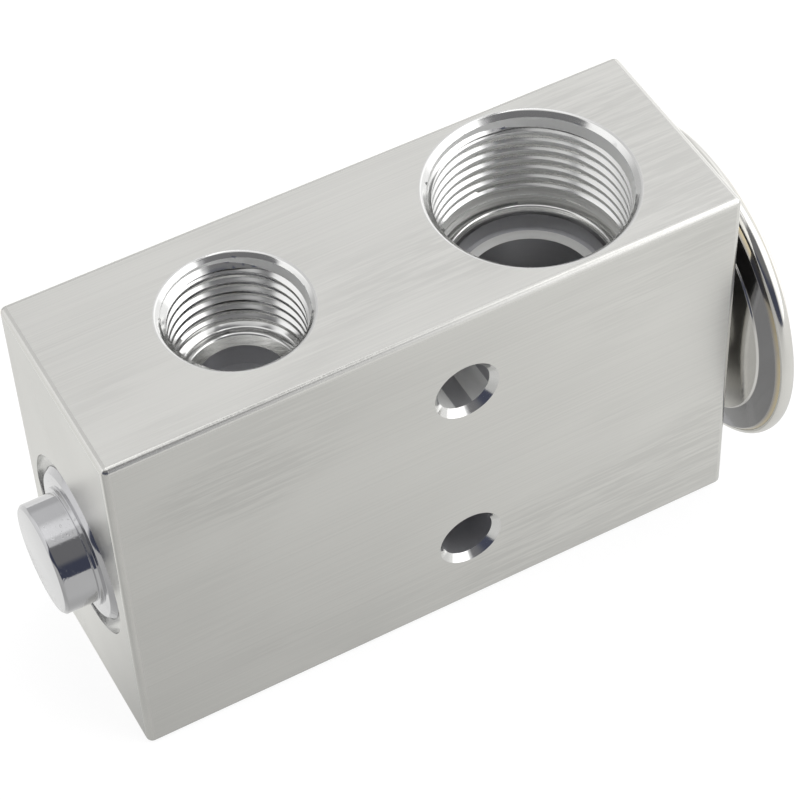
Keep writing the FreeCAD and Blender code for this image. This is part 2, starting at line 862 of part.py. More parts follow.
head_base = new_body("head_base")
neck_radius = neck_thread_radius - thread_play
neck_tip = right_end - neck_length
hub_start = right_end + shoulder_height
hub_end = hub_start + hub_rise
shell_end = hub_end + hub_step + shell_rise
clamp_radius = shell_radius - clamp_setback
turned(
    head_base,
    "base_turning",
    [
        (neck_tip, neck_hollow_radius),
        (neck_tip, neck_radius - 0.5),
        (neck_tip + 0.5, neck_radius),
        (right_end - neck_chamfer - 0.1, neck_radius),
        (right_end - neck_chamfer - 0.1, neck_undercut_radius),
        (right_end, neck_undercut_radius),
        (right_end, shoulder_radius),
        (hub_start, shoulder_radius),
        (hub_end, hub_radius),
        (hub_end + hub_step, hub_radius + 0.1),
        (shell_end, shell_radius - shell_corner),
        (shell_end + shell_corner, shell_radius),
        (diaphragm_plane, shell_radius),
        (diaphragm_plane, clamp_radius),
        (diaphragm_plane - diaphragm_wave * 2, clamp_radius),
        (diaphragm_plane - diaphragm_wave * 2, pad_radius + 0.6),
        (pad_floor, pad_radius + 0.6),
        (pad_floor, neck_hollow_radius),
    ],
)
on_valve_axis(head_base)
parts.append(head_base)

# The ring lies in the corner between the neck's undercut, the shoulder and the chamfer
head_oring = new_body("head_oring")
corner_height = neck_thread_radius + neck_chamfer - neck_undercut_radius
corner_ring = corner_height / (2 + math.sqrt(2.0)) - seal_play
ring_of(
    head_oring,
    "head_ring",
    right_end - corner_ring - seal_play,
    neck_undercut_radius + corner_ring + seal_play,
    corner_ring,
)
on_valve_axis(head_oring)
parts.append(head_oring)

diaphragm_pad = new_body("diaphragm_pad")
turned(
    diaphragm_pad,
    "pad_turning",
    [
        (pad_hub_end, rod_radius + press_play),
        (pad_hub_end, pad_hub_radius - 0.3),
        (pad_hub_end + 0.3, pad_hub_radius),
        (pad_back, pad_hub_radius),
        (pad_back, pad_radius),
        (pad_face, pad_radius),
        (pad_face, 0),
        (rod_right, 0),
        (rod_right, rod_radius + press_play),
    ],
)
on_valve_axis(diaphragm_pad)
parts.append(diaphragm_pad)

# Thin disc with two waves between the pad and the clamped rim
diaphragm = new_body("diaphragm")
wave_radii = [clamp_radius - 0.5 - 0.6 * n for n in range(5)]
wave_dips = [0, -1, 0, -1, 0]
wave_under = []
wave_over = []
for wave_radius, dip in zip(wave_radii, wave_dips):
    under = diaphragm_plane + diaphragm_wave * dip
    wave_under.append((under, wave_radius))
    wave_over.append((under + diaphragm_thickness, wave_radius))
turned(
    diaphragm,
    "diaphragm_turning",
    [(diaphragm_plane, 0), (lid_plane, 0)]
    + wave_over[::-1]
    + [(lid_plane, shell_radius), (diaphragm_plane, shell_radius)]
    + wave_under,
)
on_valve_axis(diaphragm)
parts.append(diaphragm)

head_lid = new_body("head_lid")
lid_top = lid_plane + lid_height
lid_under = lid_top - lid_sheet
rim_top = lid_plane + lid_rim_height
dimple_floor = lid_top - dimple_depth
turned(
    head_lid,
    "lid_turning",
    [
        (lid_plane, shell_radius),
        (rim_top, shell_radius),
        (rim_top + 0.35, shell_radius - 0.25),
        (lid_top - 0.3, lid_top_radius + 0.9),
        (lid_top, lid_top_radius),
        (lid_top, dimple_radius),
        (dimple_floor, dimple_radius - 0.9),
        (dimple_floor, charge_hole_radius),
        (dimple_floor - lid_sheet * 0.8, charge_hole_radius),
        (dimple_floor - lid_sheet * 0.8, dimple_radius - 0.2),
        (lid_under, dimple_radius + 0.7),
        (lid_under, lid_top_radius - 0.4),
        (lid_under - 0.3, lid_top_radius - 0.1),
        (lid_plane + 0.4, shell_radius - 1.75),
        (lid_plane, shell_radius - 1.45),
    ],
)
on_valve_axis(head_lid)
parts.append(head_lid)

rim_weld = new_body("rim_weld")
weld_middle = diaphragm_plane + diaphragm_thickness / 2
weld_left = weld_middle - weld_width / 2
weld_right = weld_middle + weld_width / 2
weld_bead = turned(
    rim_weld,
    "weld_bead",
    [
        (weld_left, shell_radius),
        (weld_left, shell_radius + weld_height),
        (weld_right, shell_radius + weld_height),
        (weld_right, shell_radius),
    ],
)
doc.recompute()


def is_weld_corner(edge):
    """Tell whether an edge is one of the bead's two outer corners."""
    return edge.Curve.Radius > shell_radius.value + weld_height.value / 2


weld_rounding = rim_weld.newObject("PartDesign::Fillet", "weld_rounding")
weld_rounding.Base = (weld_bead, round_edges(weld_bead.Shape, is_weld_corner))
weld_rounding.Radius = weld_round.value
weld_rounding.setExpression("Radius", weld_round.text)
rim_weld.Tip = weld_rounding
on_valve_axis(rim_weld)
parts.append(rim_weld)

# The plug of the charge hole is a ball that sits on the edge of the hole
charge_lift = math.sqrt(charge_plug_radius.value**2 - charge_hole_radius.value**2)
charge_rise = Size(
    charge_lift,
    f"(sqrt({charge_plug_radius.text} ^ 2 - {charge_hole_radius.text} ^ 2))",
)
charge_plug = ball("charge_plug", dimple_floor + charge_rise + press_play, charge_plug_radius)
parts.append(charge_plug)

# Check every object, then write one file per part

doc.recompute()
for item in doc.Objects:
    if "Invalid" in item.State or "Error" in item.State:
        raise RuntimeError(f"{item.Label} did not compute: {item.State}")
os.makedirs("parts", exist_ok=True)
for part in parts:
    shape = part.Shape
    if shape.isNull() or not shape.isValid() or not shape.Solids:
        raise RuntimeError(f"{part.Label} has no sound solid")
    shape.exportStep(os.path.join("parts", part.Label + ".step"))
    print(f"{part.Label:18s} solids {len(shape.Solids)} volume {shape.Volume:10.2f} mm3")
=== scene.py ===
"""Looks of a block-type expansion valve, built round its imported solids.

The frame gives the object: +X runs along the block towards the power head, +Y from the front
face to the back one and +Z up. The origin is on the bottom face, in line with the mounting
holes. Sizes in the classes are in millimetres, and meshes are made in metres.
"""

import json
import logging
import math
from dataclasses import dataclass, field
from enum import Enum, IntEnum
from functools import reduce
from typing import Any, Iterable, Optional, Sequence

import bmesh
import bpy
from mathutils import Matrix, Vector

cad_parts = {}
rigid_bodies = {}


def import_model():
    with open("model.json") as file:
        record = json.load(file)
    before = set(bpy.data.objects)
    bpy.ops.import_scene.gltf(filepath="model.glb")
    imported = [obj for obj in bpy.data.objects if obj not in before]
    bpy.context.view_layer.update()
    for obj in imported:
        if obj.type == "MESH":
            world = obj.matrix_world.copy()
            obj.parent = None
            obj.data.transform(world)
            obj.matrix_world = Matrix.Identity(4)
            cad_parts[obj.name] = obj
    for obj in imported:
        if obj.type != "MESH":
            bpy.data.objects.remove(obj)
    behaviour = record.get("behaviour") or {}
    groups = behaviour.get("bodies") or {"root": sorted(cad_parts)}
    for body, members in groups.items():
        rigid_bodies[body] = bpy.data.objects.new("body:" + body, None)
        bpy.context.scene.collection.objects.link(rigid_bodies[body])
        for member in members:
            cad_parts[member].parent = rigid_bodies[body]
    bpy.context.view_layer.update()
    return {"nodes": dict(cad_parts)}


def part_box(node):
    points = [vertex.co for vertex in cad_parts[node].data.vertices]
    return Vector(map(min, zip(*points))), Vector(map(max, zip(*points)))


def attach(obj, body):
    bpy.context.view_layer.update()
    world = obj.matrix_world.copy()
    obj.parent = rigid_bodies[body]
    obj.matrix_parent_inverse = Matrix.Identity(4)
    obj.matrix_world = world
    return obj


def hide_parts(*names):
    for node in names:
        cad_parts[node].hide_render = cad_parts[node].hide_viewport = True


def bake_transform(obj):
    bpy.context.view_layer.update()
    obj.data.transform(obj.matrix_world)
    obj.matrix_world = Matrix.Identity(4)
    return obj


log = logging.getLogger("expansion_valve")

MM = 0.001
PORT_FACE = 50.6
AXIS_HEIGHT = 23.2
# Radii and depths below this, in millimetres, count as none.
ON_AXIS = 1e-6
# In metres: what counts as one point, as no length, and as a gap at the seams of cut mouths.
SAME_POINT = 2e-6
NO_LENGTH = 1e-7
SEAM_GAP = 2e-4
Point = tuple[float, float]
Colour = tuple[float, float, float]
Material = bpy.types.Material
Mesh = bmesh.types.BMesh
Node = bpy.types.Node
Object = bpy.types.Object
Socket = bpy.types.NodeSocket


class Axis(Enum):
    """Lines that turned shapes stand on."""

    VALVE = "the valve's own axis, along X"
    UPRIGHT = "a port's axis, along Z"
    ACROSS = "a mounting hole's axis, along Y"


class Wall(IntEnum):
    """Slots of the block's finishes."""

    BAR = 0
    BORE = 1
    # Slot for deep walls, whose darker colour is painted shade.
    DEEP_PAINTED_SHADE = 2
    MATT = 3
    EDGE = 4


# Node graphs


class Graph:
    """A short way to write a node tree."""

    def __init__(self, tree: bpy.types.NodeTree) -> None:
        """Start with an empty tree.

        Args:
            tree: The tree of a material or of the world.
        """
        self.tree = tree
        tree.nodes.clear()

    def add(self, kind: str, inputs: Optional[dict[Any, Any]] = None, **settings: Any) -> Node:
        """Add a node.

        Args:
            kind: The node's type name.
            inputs: Values or sockets for its inputs, by name or number.
            **settings: Properties of the node.

        Returns:
            The new node.
        """
        node = self.tree.nodes.new(kind)
        for name, value in settings.items():
            setattr(node, name, value)
        for name, value in (inputs or {}).items():
            if isinstance(value, Socket):
                self.tree.links.new(value, node.inputs[name])
            else:
                node.inputs[name].default_value = value
        return node

    def math(self, operation: str, first: Any, second: Any = 0.0) -> Socket:
        """Do one sum on numbers.

        Args:
            operation: The operation's name.
            first: A number or socket.
            second: A number or socket.

        Returns:
            The socket of the result.
        """
        return self.add("ShaderNodeMath", {0: first, 1: second}, operation=operation).outputs[0]

    def plus(self, *values: Any) -> Socket:
        """Add numbers or sockets up, in their order."""
        return reduce(lambda first, second: self.math("ADD", first, second), values)

    def times(self, *values: Any) -> Socket:
        """Multiply numbers or sockets, in their order."""
        return reduce(lambda first, second: self.math("MULTIPLY", first, second), values)

    def ramp(self, value: Any, low: float, high: float, start: float = 0.0, end: float = 1.0) -> Socket:
        """Map a range onto another with soft ends.

        Args:
            value: The number to map.
            low: Where the result starts to change.
            high: Where it stops.
            start: The result below low.
            end: The result above high.

        Returns:
            The socket of the result.
        """
        inputs = {"Value": value, "From Min": low, "From Max": high, "To Min": start, "To Max": end}
        node = self.add("ShaderNodeMapRange", inputs, interpolation_type="SMOOTHSTEP")
        return node.outputs["Result"]

    def mix(self, factor: Any, first: Any, second: Any) -> Socket:
        """Mix two colours.

        Args:
            factor: 0 for the first, 1 for the second.
            first: A colour or socket.
            second: A colour or socket.

        Returns:
            The socket of the colour.
        """
        node = self.add("ShaderNodeMix", data_type="RGBA")
        for slot, value in ((0, factor), (6, first), (7, second)):
            if isinstance(value, Socket):
                self.tree.links.new(value, node.inputs[slot])
            else:
                node.inputs[slot].default_value = value if slot == 0 else (*value, 1.0)
        return node.outputs[2]

    def noise(
        self, scale: Any, detail: float = 2.0, rough: float = 0.5, where: Optional[Socket] = None
    ) -> Socket:
        """Add a noise texture.

        Args:
            scale: Its scale, or one for each axis of the object.
            detail: Its number of finer layers.
            rough: The strength of those layers.
            where: Where it is read, instead of the object's own coordinates.

        Returns:
            The socket of its value, about 0.5.
        """
        even = isinstance(scale, float)
        if where is None:
            where = self.place((1.0, 1.0, 1.0) if even else scale)
        inputs = {"Vector": where, "Scale": scale if even else 1.0, "Detail": detail, "Roughness": rough}
        return self.add("ShaderNodeTexNoise", inputs).outputs["Fac"]

    def place(self, scale: Sequence[float]) -> Socket:
        """Give the object's own coordinates, stretched.

        Args:
            scale: The factor along each axis.

        Returns:
            The socket of the vector.
        """
        where = self.add("ShaderNodeTexCoord").outputs["Object"]
        return self.add("ShaderNodeMapping", {"Vector": where, "Scale": scale}).outputs["Vector"]

    def parts(self, kind: str = "Object") -> list[Socket]:
        """Give the three parts of a texture coordinate."""
        where = self.add("ShaderNodeTexCoord").outputs[kind]
        return list(self.add("ShaderNodeSeparateXYZ", {0: where}).outputs)

    def about_axis(self) -> tuple[Socket, Socket]:
        """Give the place along the valve's axis and the distance from it, in metres."""
        along, side, height = self.parts()
        up = self.math("SUBTRACT", height, AXIS_HEIGHT * MM)
        square = self.plus(self.times(up, up), self.times(side, side))
        return along, self.math("SQRT", square)

    def bump(self, height: Socket, depth: float, after: Optional[Socket] = None) -> Socket:
        """Turn a height into a normal.

        Args:
            height: The height, 0 to 1.
            depth: What a height of 1 measures, in millimetres.
            after: A normal to add to.

        Returns:
            The socket of the normal.
        """
        inputs: dict[Any, Any] = {"Height": height, "Distance": depth * MM, "Strength": 1.0}
        if after is not None:
            inputs["Normal"] = after
        return self.add("ShaderNodeBump", inputs).outputs["Normal"]


# Finishes


@dataclass(frozen=True)
class Finish:
    """A metal or rubber with one colour and grain.

    The grain is turned about the valve's axis, as a lathe leaves it.
    """

    name: str
    colour: Colour
    metallic: float = 1.0
    roughness: float = 0.25
    spread: float = 0.06
    ridge: float = 0.002
    mottle: float = 0.05

    def material(self) -> Material:
        """Make the material with its node tree."""
        made = bpy.data.materials.new(self.name)
        made.use_nodes = True
        graph = Graph(made.node_tree)
        shader = graph.add("ShaderNodeBsdfPrincipled", {"Metallic": self.metallic})
        graph.tree.links.new(shader.outputs[0], graph.add("ShaderNodeOutputMaterial").inputs[0])
        self.dress(graph, shader)
        return made

    def dress(self, graph: Graph, shader: Node) -> None:
        """Fill in colour, roughness and normal.

        Args:
            graph: The material's graph.
            shader: Its principled node.
        """
        cloud = graph.noise(260.0, 3.0)
        colour = graph.mix(cloud, self.shade(1.0 - self.mottle * 2), self.colour)
        rings = self.rings(graph)
        self.fill(graph, shader, colour, rings, graph.bump(rings, self.ridge))

    def shade(self, share: float) -> Colour:
        """Give a darker colour, as a share of the plain one."""
        red, green, blue = self.colour
        return red * share, green * share, blue * share

    def fill(self, graph: Graph, shader: Node, colour: Socket, marks: Socket, normal: Socket) -> None:
        """Join the colour, a roughness and the normal to the shader.

        Args:
            graph: The material's graph.
            shader: Its principled node.
            colour: The surface's colour.
            marks: What the roughness follows, about 0.5.
            normal: The surface's normal.
        """
        rough = graph.ramp(marks, 0.3, 0.7, self.roughness - self.spread, self.roughness + self.spread)
        for name, socket in (("Base Color", colour), ("Roughness", rough), ("Normal", normal)):
            graph.tree.links.new(socket, shader.inputs[name])

    def rings(self, graph: Graph) -> Socket:
        """Give fine turning marks about the valve's axis.

        Args:
            graph: The material's graph.

        Returns:
            The socket of the marks, about 0.5.
        """
        along, radius = graph.about_axis()
        line = graph.add("ShaderNodeCombineXYZ", {"X": along, "Y": radius, "Z": 0.0})
        return graph.noise(9000.0, where=line.outputs[0])


@dataclass(frozen=True)
class DrawnAluminium(Finish):
    """Extruded bar with brush lines along its length and finely milled ends."""

    streak: float = 0.0028
    worn: float = 0.90
    scuff: float = 0.84

    def dress(self, graph: Graph, shader: Node) -> None:
        """Fill in streaks along the length, soft clouds, scratches and scuffed patches.

        Args:
            graph: The material's graph.
            shader: Its principled node.
        """
        fine = graph.noise((30.0, 5200.0, 5200.0), 3.0, 0.6)
        broad = graph.noise((11.0, 1700.0, 1700.0), 2.0)
        cloud = graph.noise((30.0, 60.0, 60.0), 2.0)
        lines = graph.plus(graph.times(fine, 0.82), graph.times(broad, 0.18))
        scratch = graph.ramp(graph.noise((14.0, 1500.0, 1500.0), 1.0), 0.70, 0.76)
        tone = graph.ramp(graph.plus(graph.times(lines, 0.6), graph.times(cloud, 0.4)), 0.30, 0.62)
        colour = graph.mix(tone, self.shade(self.worn), self.colour)
        height = graph.math("SUBTRACT", lines, graph.times(scratch, 0.5))
        scuffed = graph.ramp(graph.noise((26.0, 48.0, 48.0), 2.0), 0.44, 0.62)
        coarse = graph.noise((110.0, 2100.0, 2100.0), 3.0, 0.7)
        height = graph.plus(height, graph.times(coarse, scuffed, 3.2))
        share = graph.times(scuffed, graph.ramp(coarse, 0.36, 0.62, 0.0, 0.75))
        colour = graph.mix(share, colour, self.shade(self.scuff))
        self.fill(graph, shader, colour, lines, graph.bump(height, self.streak))


@dataclass(frozen=True)
class BoredAluminium(Finish):
    """Aluminium cut by a tool that turns about an upright line."""

    def rings(self, graph: Graph) -> Socket:
        """Give the tool's marks, which run round the bore and so change with height.

        Args:
            graph: The material's graph.

        Returns:
            The socket of the marks, about 0.5.
        """
        return graph.noise((60.0, 60.0, 5200.0), 2.0)


@dataclass(frozen=True)
class ZincPlate(Finish):
    """Bright plating on turned steel, with fine pits and a crust on its lower half."""

    pit: float = 0.010

    def dress(self, graph: Graph, shader: Node) -> None:
        """Fill in a bright colour, a nearly smooth surface, small pits and the crust.

        Args:
            graph: The material's graph.
            shader: Its principled node.
        """
        super().dress(graph, shader)
        pits = graph.noise(2600.0, 2.0, 0.6)
        deep = graph.ramp(pits, 0.60, 0.74)
        patch = graph.ramp(graph.noise(170.0, 1.0), 0.42, 0.62)
        height = graph.times(deep, patch, -1.0)
        full, none = (AXIS_HEIGHT - 3.6) * MM, (AXIS_HEIGHT - 1.2) * MM
        under = graph.ramp(graph.parts()[2], full, none, 1.0, 0.0)
        crust = graph.times(graph.noise(1500.0, 3.0, 0.6), graph.times(under, 7.0))
        first = shader.inputs["Normal"].links[0].from_socket
        graph.tree.links.new(graph.bump(graph.plus(height, crust), self.pit, first), shader.inputs["Normal"])


@dataclass(frozen=True)
class HeatTintedSteel(Finish):
    """Stainless steel with a painted dark reflection on the ring inside the rim and a straw tint close to the
    weld.
    """

    tint: Colour = (0.52, 0.45, 0.31)
    tint_from: float = 19.5
    tint_to: float = 20.0
    # Painted dark reflection: the dark blue-grey colour of the ring inside the rim.
    painted_reflection: Colour = (0.31, 0.31, 0.325)
    painted_reflection_from: float = 16.72
    painted_reflection_share: float = 1.0

    def dress(self, graph: Graph, shader: Node) -> None:
        """Fill in the steel, darken the ring inside the rim with a painted reflection and let its colour turn
        to straw towards the rim.

        Args:
            graph: The material's graph.
            shader: Its principled node.
        """
        super().dress(graph, shader)
        _, radius = graph.about_axis()
        near = graph.ramp(radius, self.tint_from * MM, self.tint_to * MM)
        near = graph.times(near, graph.ramp(graph.noise(240.0, 2.0), 0.25, 0.6, 0.55, 1.0))
        plain = shader.inputs["Base Color"].links[0].from_socket
        # Painted dark reflection: outside this radius the colour turns dark blue-grey, by the share given.
        ring = graph.ramp(radius, self.painted_reflection_from * MM, (self.painted_reflection_from + 0.1) * MM)
        plain = graph.mix(graph.times(ring, self.painted_reflection_share), plain, self.painted_reflection)
        graph.tree.links.new(graph.mix(near, plain, self.tint), shader.inputs["Base Color"])


@dataclass(frozen=True)
class Rubber(Finish):
    """Black rubber with a soft grain."""

    def dress(self, graph: Graph, shader: Node) -> None:
        """Fill in a nearly black colour and a fine grain.

        Args:
            graph: The material's graph.
            shader: Its principled node.
        """
        grain = graph.noise(4200.0, 3.0)
        colour = graph.mix(grain, self.shade(0.6), self.colour)
        self.fill(graph, shader, colour, grain, graph.bump(grain, self.ridge))


BAR = DrawnAluminium("brushed_bar", (0.80, 0.795, 0.768), roughness=0.36, spread=0.07)
BORE = BoredAluminium(
    "bored_aluminium", (0.84, 0.84, 0.83), roughness=0.14, spread=0.03, ridge=0.0006, mottle=0.03
)
MATT_BORE = BoredAluminium(
    "matt_bore", (0.93, 0.93, 0.91), metallic=0.12, roughness=0.38, ridge=0.001, mottle=0.03
)
# Painted shade: the deep walls of bores and holes get this darker colour.
DEEP_PAINTED_SHADE = BoredAluminium("deep_bore_painted_shade", (0.60, 0.60, 0.62), metallic=0.7, roughness=0.42, ridge=0.002)
BROKEN_EDGE = Finish("broken_edge", (0.80, 0.795, 0.768), roughness=0.20, spread=0.06, ridge=0.0006)
ZINC = ZincPlate("zinc_plate", (0.66, 0.66, 0.675), roughness=0.09, spread=0.03, ridge=0.0006)
SHELL = HeatTintedSteel("stainless_shell", (0.72, 0.71, 0.69), roughness=0.13, spread=0.04, ridge=0.0008)
# The lid has no painted dark reflection on its ring.
LID = HeatTintedSteel(
    "stainless_lid", (0.72, 0.71, 0.69), roughness=0.16, spread=0.04, ridge=0.0008, painted_reflection_share=0.0
)
WELD = Finish("weld_bead", (0.78, 0.77, 0.74), roughness=0.13, spread=0.05, ridge=0.001)
RUBBER = Rubber("seal_rubber", (0.03, 0.03, 0.032), metallic=0.0, roughness=0.55)
BRASS = Finish("turned_brass", (0.78, 0.60, 0.30), roughness=0.25)
SPRING_STEEL = Finish("spring_steel", (0.60, 0.59, 0.58), roughness=0.28)
POLISHED = Finish("polished_steel", (0.78, 0.78, 0.79), roughness=0.07, spread=0.02, ridge=0.0002)
TURNED_STEEL = Finish("turned_steel", (0.66, 0.65, 0.64), roughness=0.22)
ROD = Finish("turned_rod", (0.76, 0.76, 0.76), roughness=0.25)


# Meshes


def soften(corners: Sequence[Point], radius: float, steps: int = 3, closed: bool = True) -> list[Point]:
    """Round the corners of an outline.

    Args:
        corners: The outline's corners.
        radius: How far the rounding reaches along each side.
        steps: How many pieces each arc has.
        closed: Whether the last corner joins the first.

    Returns:
        The rounded outline.
    """
    made: list[Point] = []
    count = len(corners)
    for number, corner in enumerate(corners):
        before, after = corners[number - 1], corners[(number + 1) % count]
        edge = not closed and number in (0, count - 1)
        on_axis = corner[1] < ON_AXIS
        if edge or on_axis or radius <= 0:
            made.append(corner)
            continue
        here = Vector(corner)
        back, ahead = Vector(before) - here, Vector(after) - here
        reach = min(radius, back.length * 0.4, ahead.length * 0.4)
        start, end = here + back.normalized() * reach, here + ahead.normalized() * reach
        for step in range(steps + 1):
            t = step / steps
            point = start * (1 - t) ** 2 + here * 2 * t * (1 - t) + end * t**2
            made.append((point.x, point.y))
    return made


def angles(count: int) -> list[float]:
    """Divide a full turn into equal steps, in radians."""
    return [math.tau * number / count for number in range(count)]


def join_rings(mesh: Mesh, near: Sequence[Any], far: Sequence[Any], segments: int, slot: int = 0) -> None:
    """Skin between two rings, either of which may be a single point.

    Args:
        mesh: The mesh that receives the faces.
        near: Vertices of the first ring.
        far: Vertices of the second ring.
        segments: How many steps make a full turn.
        slot: The material slot of the faces.
    """
    if len(near) == 1 and len(far) == 1:
        return
    for number in range(segments):
        following = (number + 1) % segments
        pairs = ((near, number), (near, following), (far, following), (far, number))
        unique = list(dict.fromkeys(ring[index % len(ring)] for ring, index in pairs))
        if len(unique) > 2:
            mesh.faces.new(unique).material_index = slot


def finish_mesh(mesh: Mesh, name: str, materials: Iterable[Material], sharp: float = 32.0) -> Object:
    """Turn a bmesh into a smoothly shaded object.

    Args:
        mesh: The geometry, which is freed.
        name: The object's name.
        materials: Its material slots.
        sharp: The angle in degrees above which an edge stays sharp.

    Returns:
        The object, linked into the scene.
    """
    bmesh.ops.recalc_face_normals(mesh, faces=mesh.faces)
    data = bpy.data.meshes.new(name)
    mesh.to_mesh(data)
    mesh.free()
    for material in materials:
        data.materials.append(material)
    data.shade_smooth()
    data.set_sharp_from_angle(angle=math.radians(sharp))
    made = bpy.data.objects.new(name, data)
    bpy.context.scene.collection.objects.link(made)
    return made


@dataclass(frozen=True)
class Lathe:
    """A line that outlines are turned about.

    middle is the line's zero in millimetres, and segments is the number of steps to a turn. The
    points of an outline are (distance along the line, radius) in millimetres.
    """

    line: Axis
    middle: tuple[float, float, float]
    segments: int

    def point(self, along: float, radius: float, angle: float) -> Vector:
        """Place a point in metres.

        Args:
            along: Distance along the line, in millimetres.
            radius: Distance from it, in millimetres.
            angle: Turn about it, in radians.

        Returns:
            The point.
        """
        a, b = radius * math.cos(angle), radius * math.sin(angle)
        offsets = {Axis.VALVE: (along, a, b), Axis.UPRIGHT: (a, b, along), Axis.ACROSS: (b, along, a)}
        return (Vector(self.middle) + Vector(offsets[self.line])) * MM

    def solid(self, outline: Sequence[Point], name: str, *materials: Material, sharp: float = 32.0) -> Object:
        """Turn a closed outline into an object.

        Args:
            outline: The outline.
            name: The object's name.
            *materials: Its material slots, none for an object that only cuts.
            sharp: The angle in degrees above which an edge stays sharp.

        Returns:
            The object.
        """
        mesh = bmesh.new()
        rows = []
        for along, radius in outline:
            steps = angles(self.segments)[: 1 if radius < ON_AXIS else self.segments]
            rows.append([mesh.verts.new(self.point(along, radius, angle)) for angle in steps])
        for near, far in zip(rows, rows[1:] + rows[:1]):
            join_rings(mesh, near, far, self.segments)
        return finish_mesh(mesh, name, materials, sharp)


# Ports


@dataclass(frozen=True)
class Thread:
    """A 60 degree thread inside a bore, right-handed.

    crest_height is where a crest passes on the back side of the bore. The thread keeps its full
    height down to the first depth of fade and ends at the second.
    """

    major: float
    height: float
    pitch: float
    crest_height: float
    fade: tuple[float, float]
    corner: float = 0.08
    fine: bool = True

    @property
    def minor(self) -> float:
        """Radius of the crests."""
        return self.major - self.height

    def shape(self) -> list[Point]:
        """Give the section over one pitch as (distance from a crest's middle, radius)."""
        slope = self.height / math.sqrt(3)
        root = self.pitch / 16
        crest = self.pitch / 2 - root - slope
        low, high = self.minor, self.major
        corners = [(0.0, low), (crest, low), (crest + slope, high), (self.pitch / 2, high)]
        half = soften(corners, self.corner, 3 if self.fine else 1, closed=False)[:-1]
        return half + [(self.pitch - a, r) for a, r in half[:0:-1]]

    def crest_at(self, angle: float) -> float:
        """Height of the crest at an angle about the bore.

        Args:
            angle: Turn from +X towards +Y, in radians.

        Returns:
            The height in millimetres.
        """
        return self.crest_height + self.pitch * (angle - math.pi / 2) / math.tau

    def radius(self, angle: float, height: float) -> float:
        """Radius of the threaded wall at a place.

        Args:
            angle: Turn from +X towards +Y, in radians.
            height: Height in millimetres.

        Returns:
            The radius in millimetres.
        """
        away = (height - self.crest_at(angle)) % self.pitch
        points = self.shape() + [(self.pitch, self.minor)]
        for (a, r), (b, s) in zip(points, points[1:]):
            if a <= away <= b:
                return r + (s - r) * (away - a) / (b - a)
        return self.minor


@dataclass(frozen=True)
class Lead:
    """The smooth start of a thread, where an upright wall stands in place of its first turn.

    It starts at an angle and runs clockwise with the thread's slope. After late it also eats up
    the slope between the wall and the thread's first edge, which is brow above the crest. It
    fades out over the last part of the turn, of length fade, and is gone after last.
    """

    start: float
    radius: float
    late: float
    brow: float = 0.85
    fall: float = 1.1
    slant: float = 0.21
    last: float = 6.2
    fade: float = 0.88

    def depths(self, angle: float, mouth: float, thread: Thread) -> tuple[float, float, float]:
        """Give the depths of the wall's top, the wall's end and the thread's first edge.

        Args:
            angle: Turn from +X towards +Y, in radians.
            mouth: Radius of the chamfer at the face.
            thread: The port's thread.

        Returns:
            The three depths in millimetres.
        """
        past = (self.start - angle) % math.tau
        top = mouth - self.radius
        rise = self.radius - thread.minor
        edge = PORT_FACE - thread.crest_at(self.start - past) - self.brow
        end = edge - rise + min(self.fall * max(past - self.late, 0.0), rise)
        stay = min(max((self.last - past) / self.fade, 0.0), 1.0)
        return top, top + max(end - top, 0.0) * stay, top + rise + max(edge - top - rise, 0.0) * stay


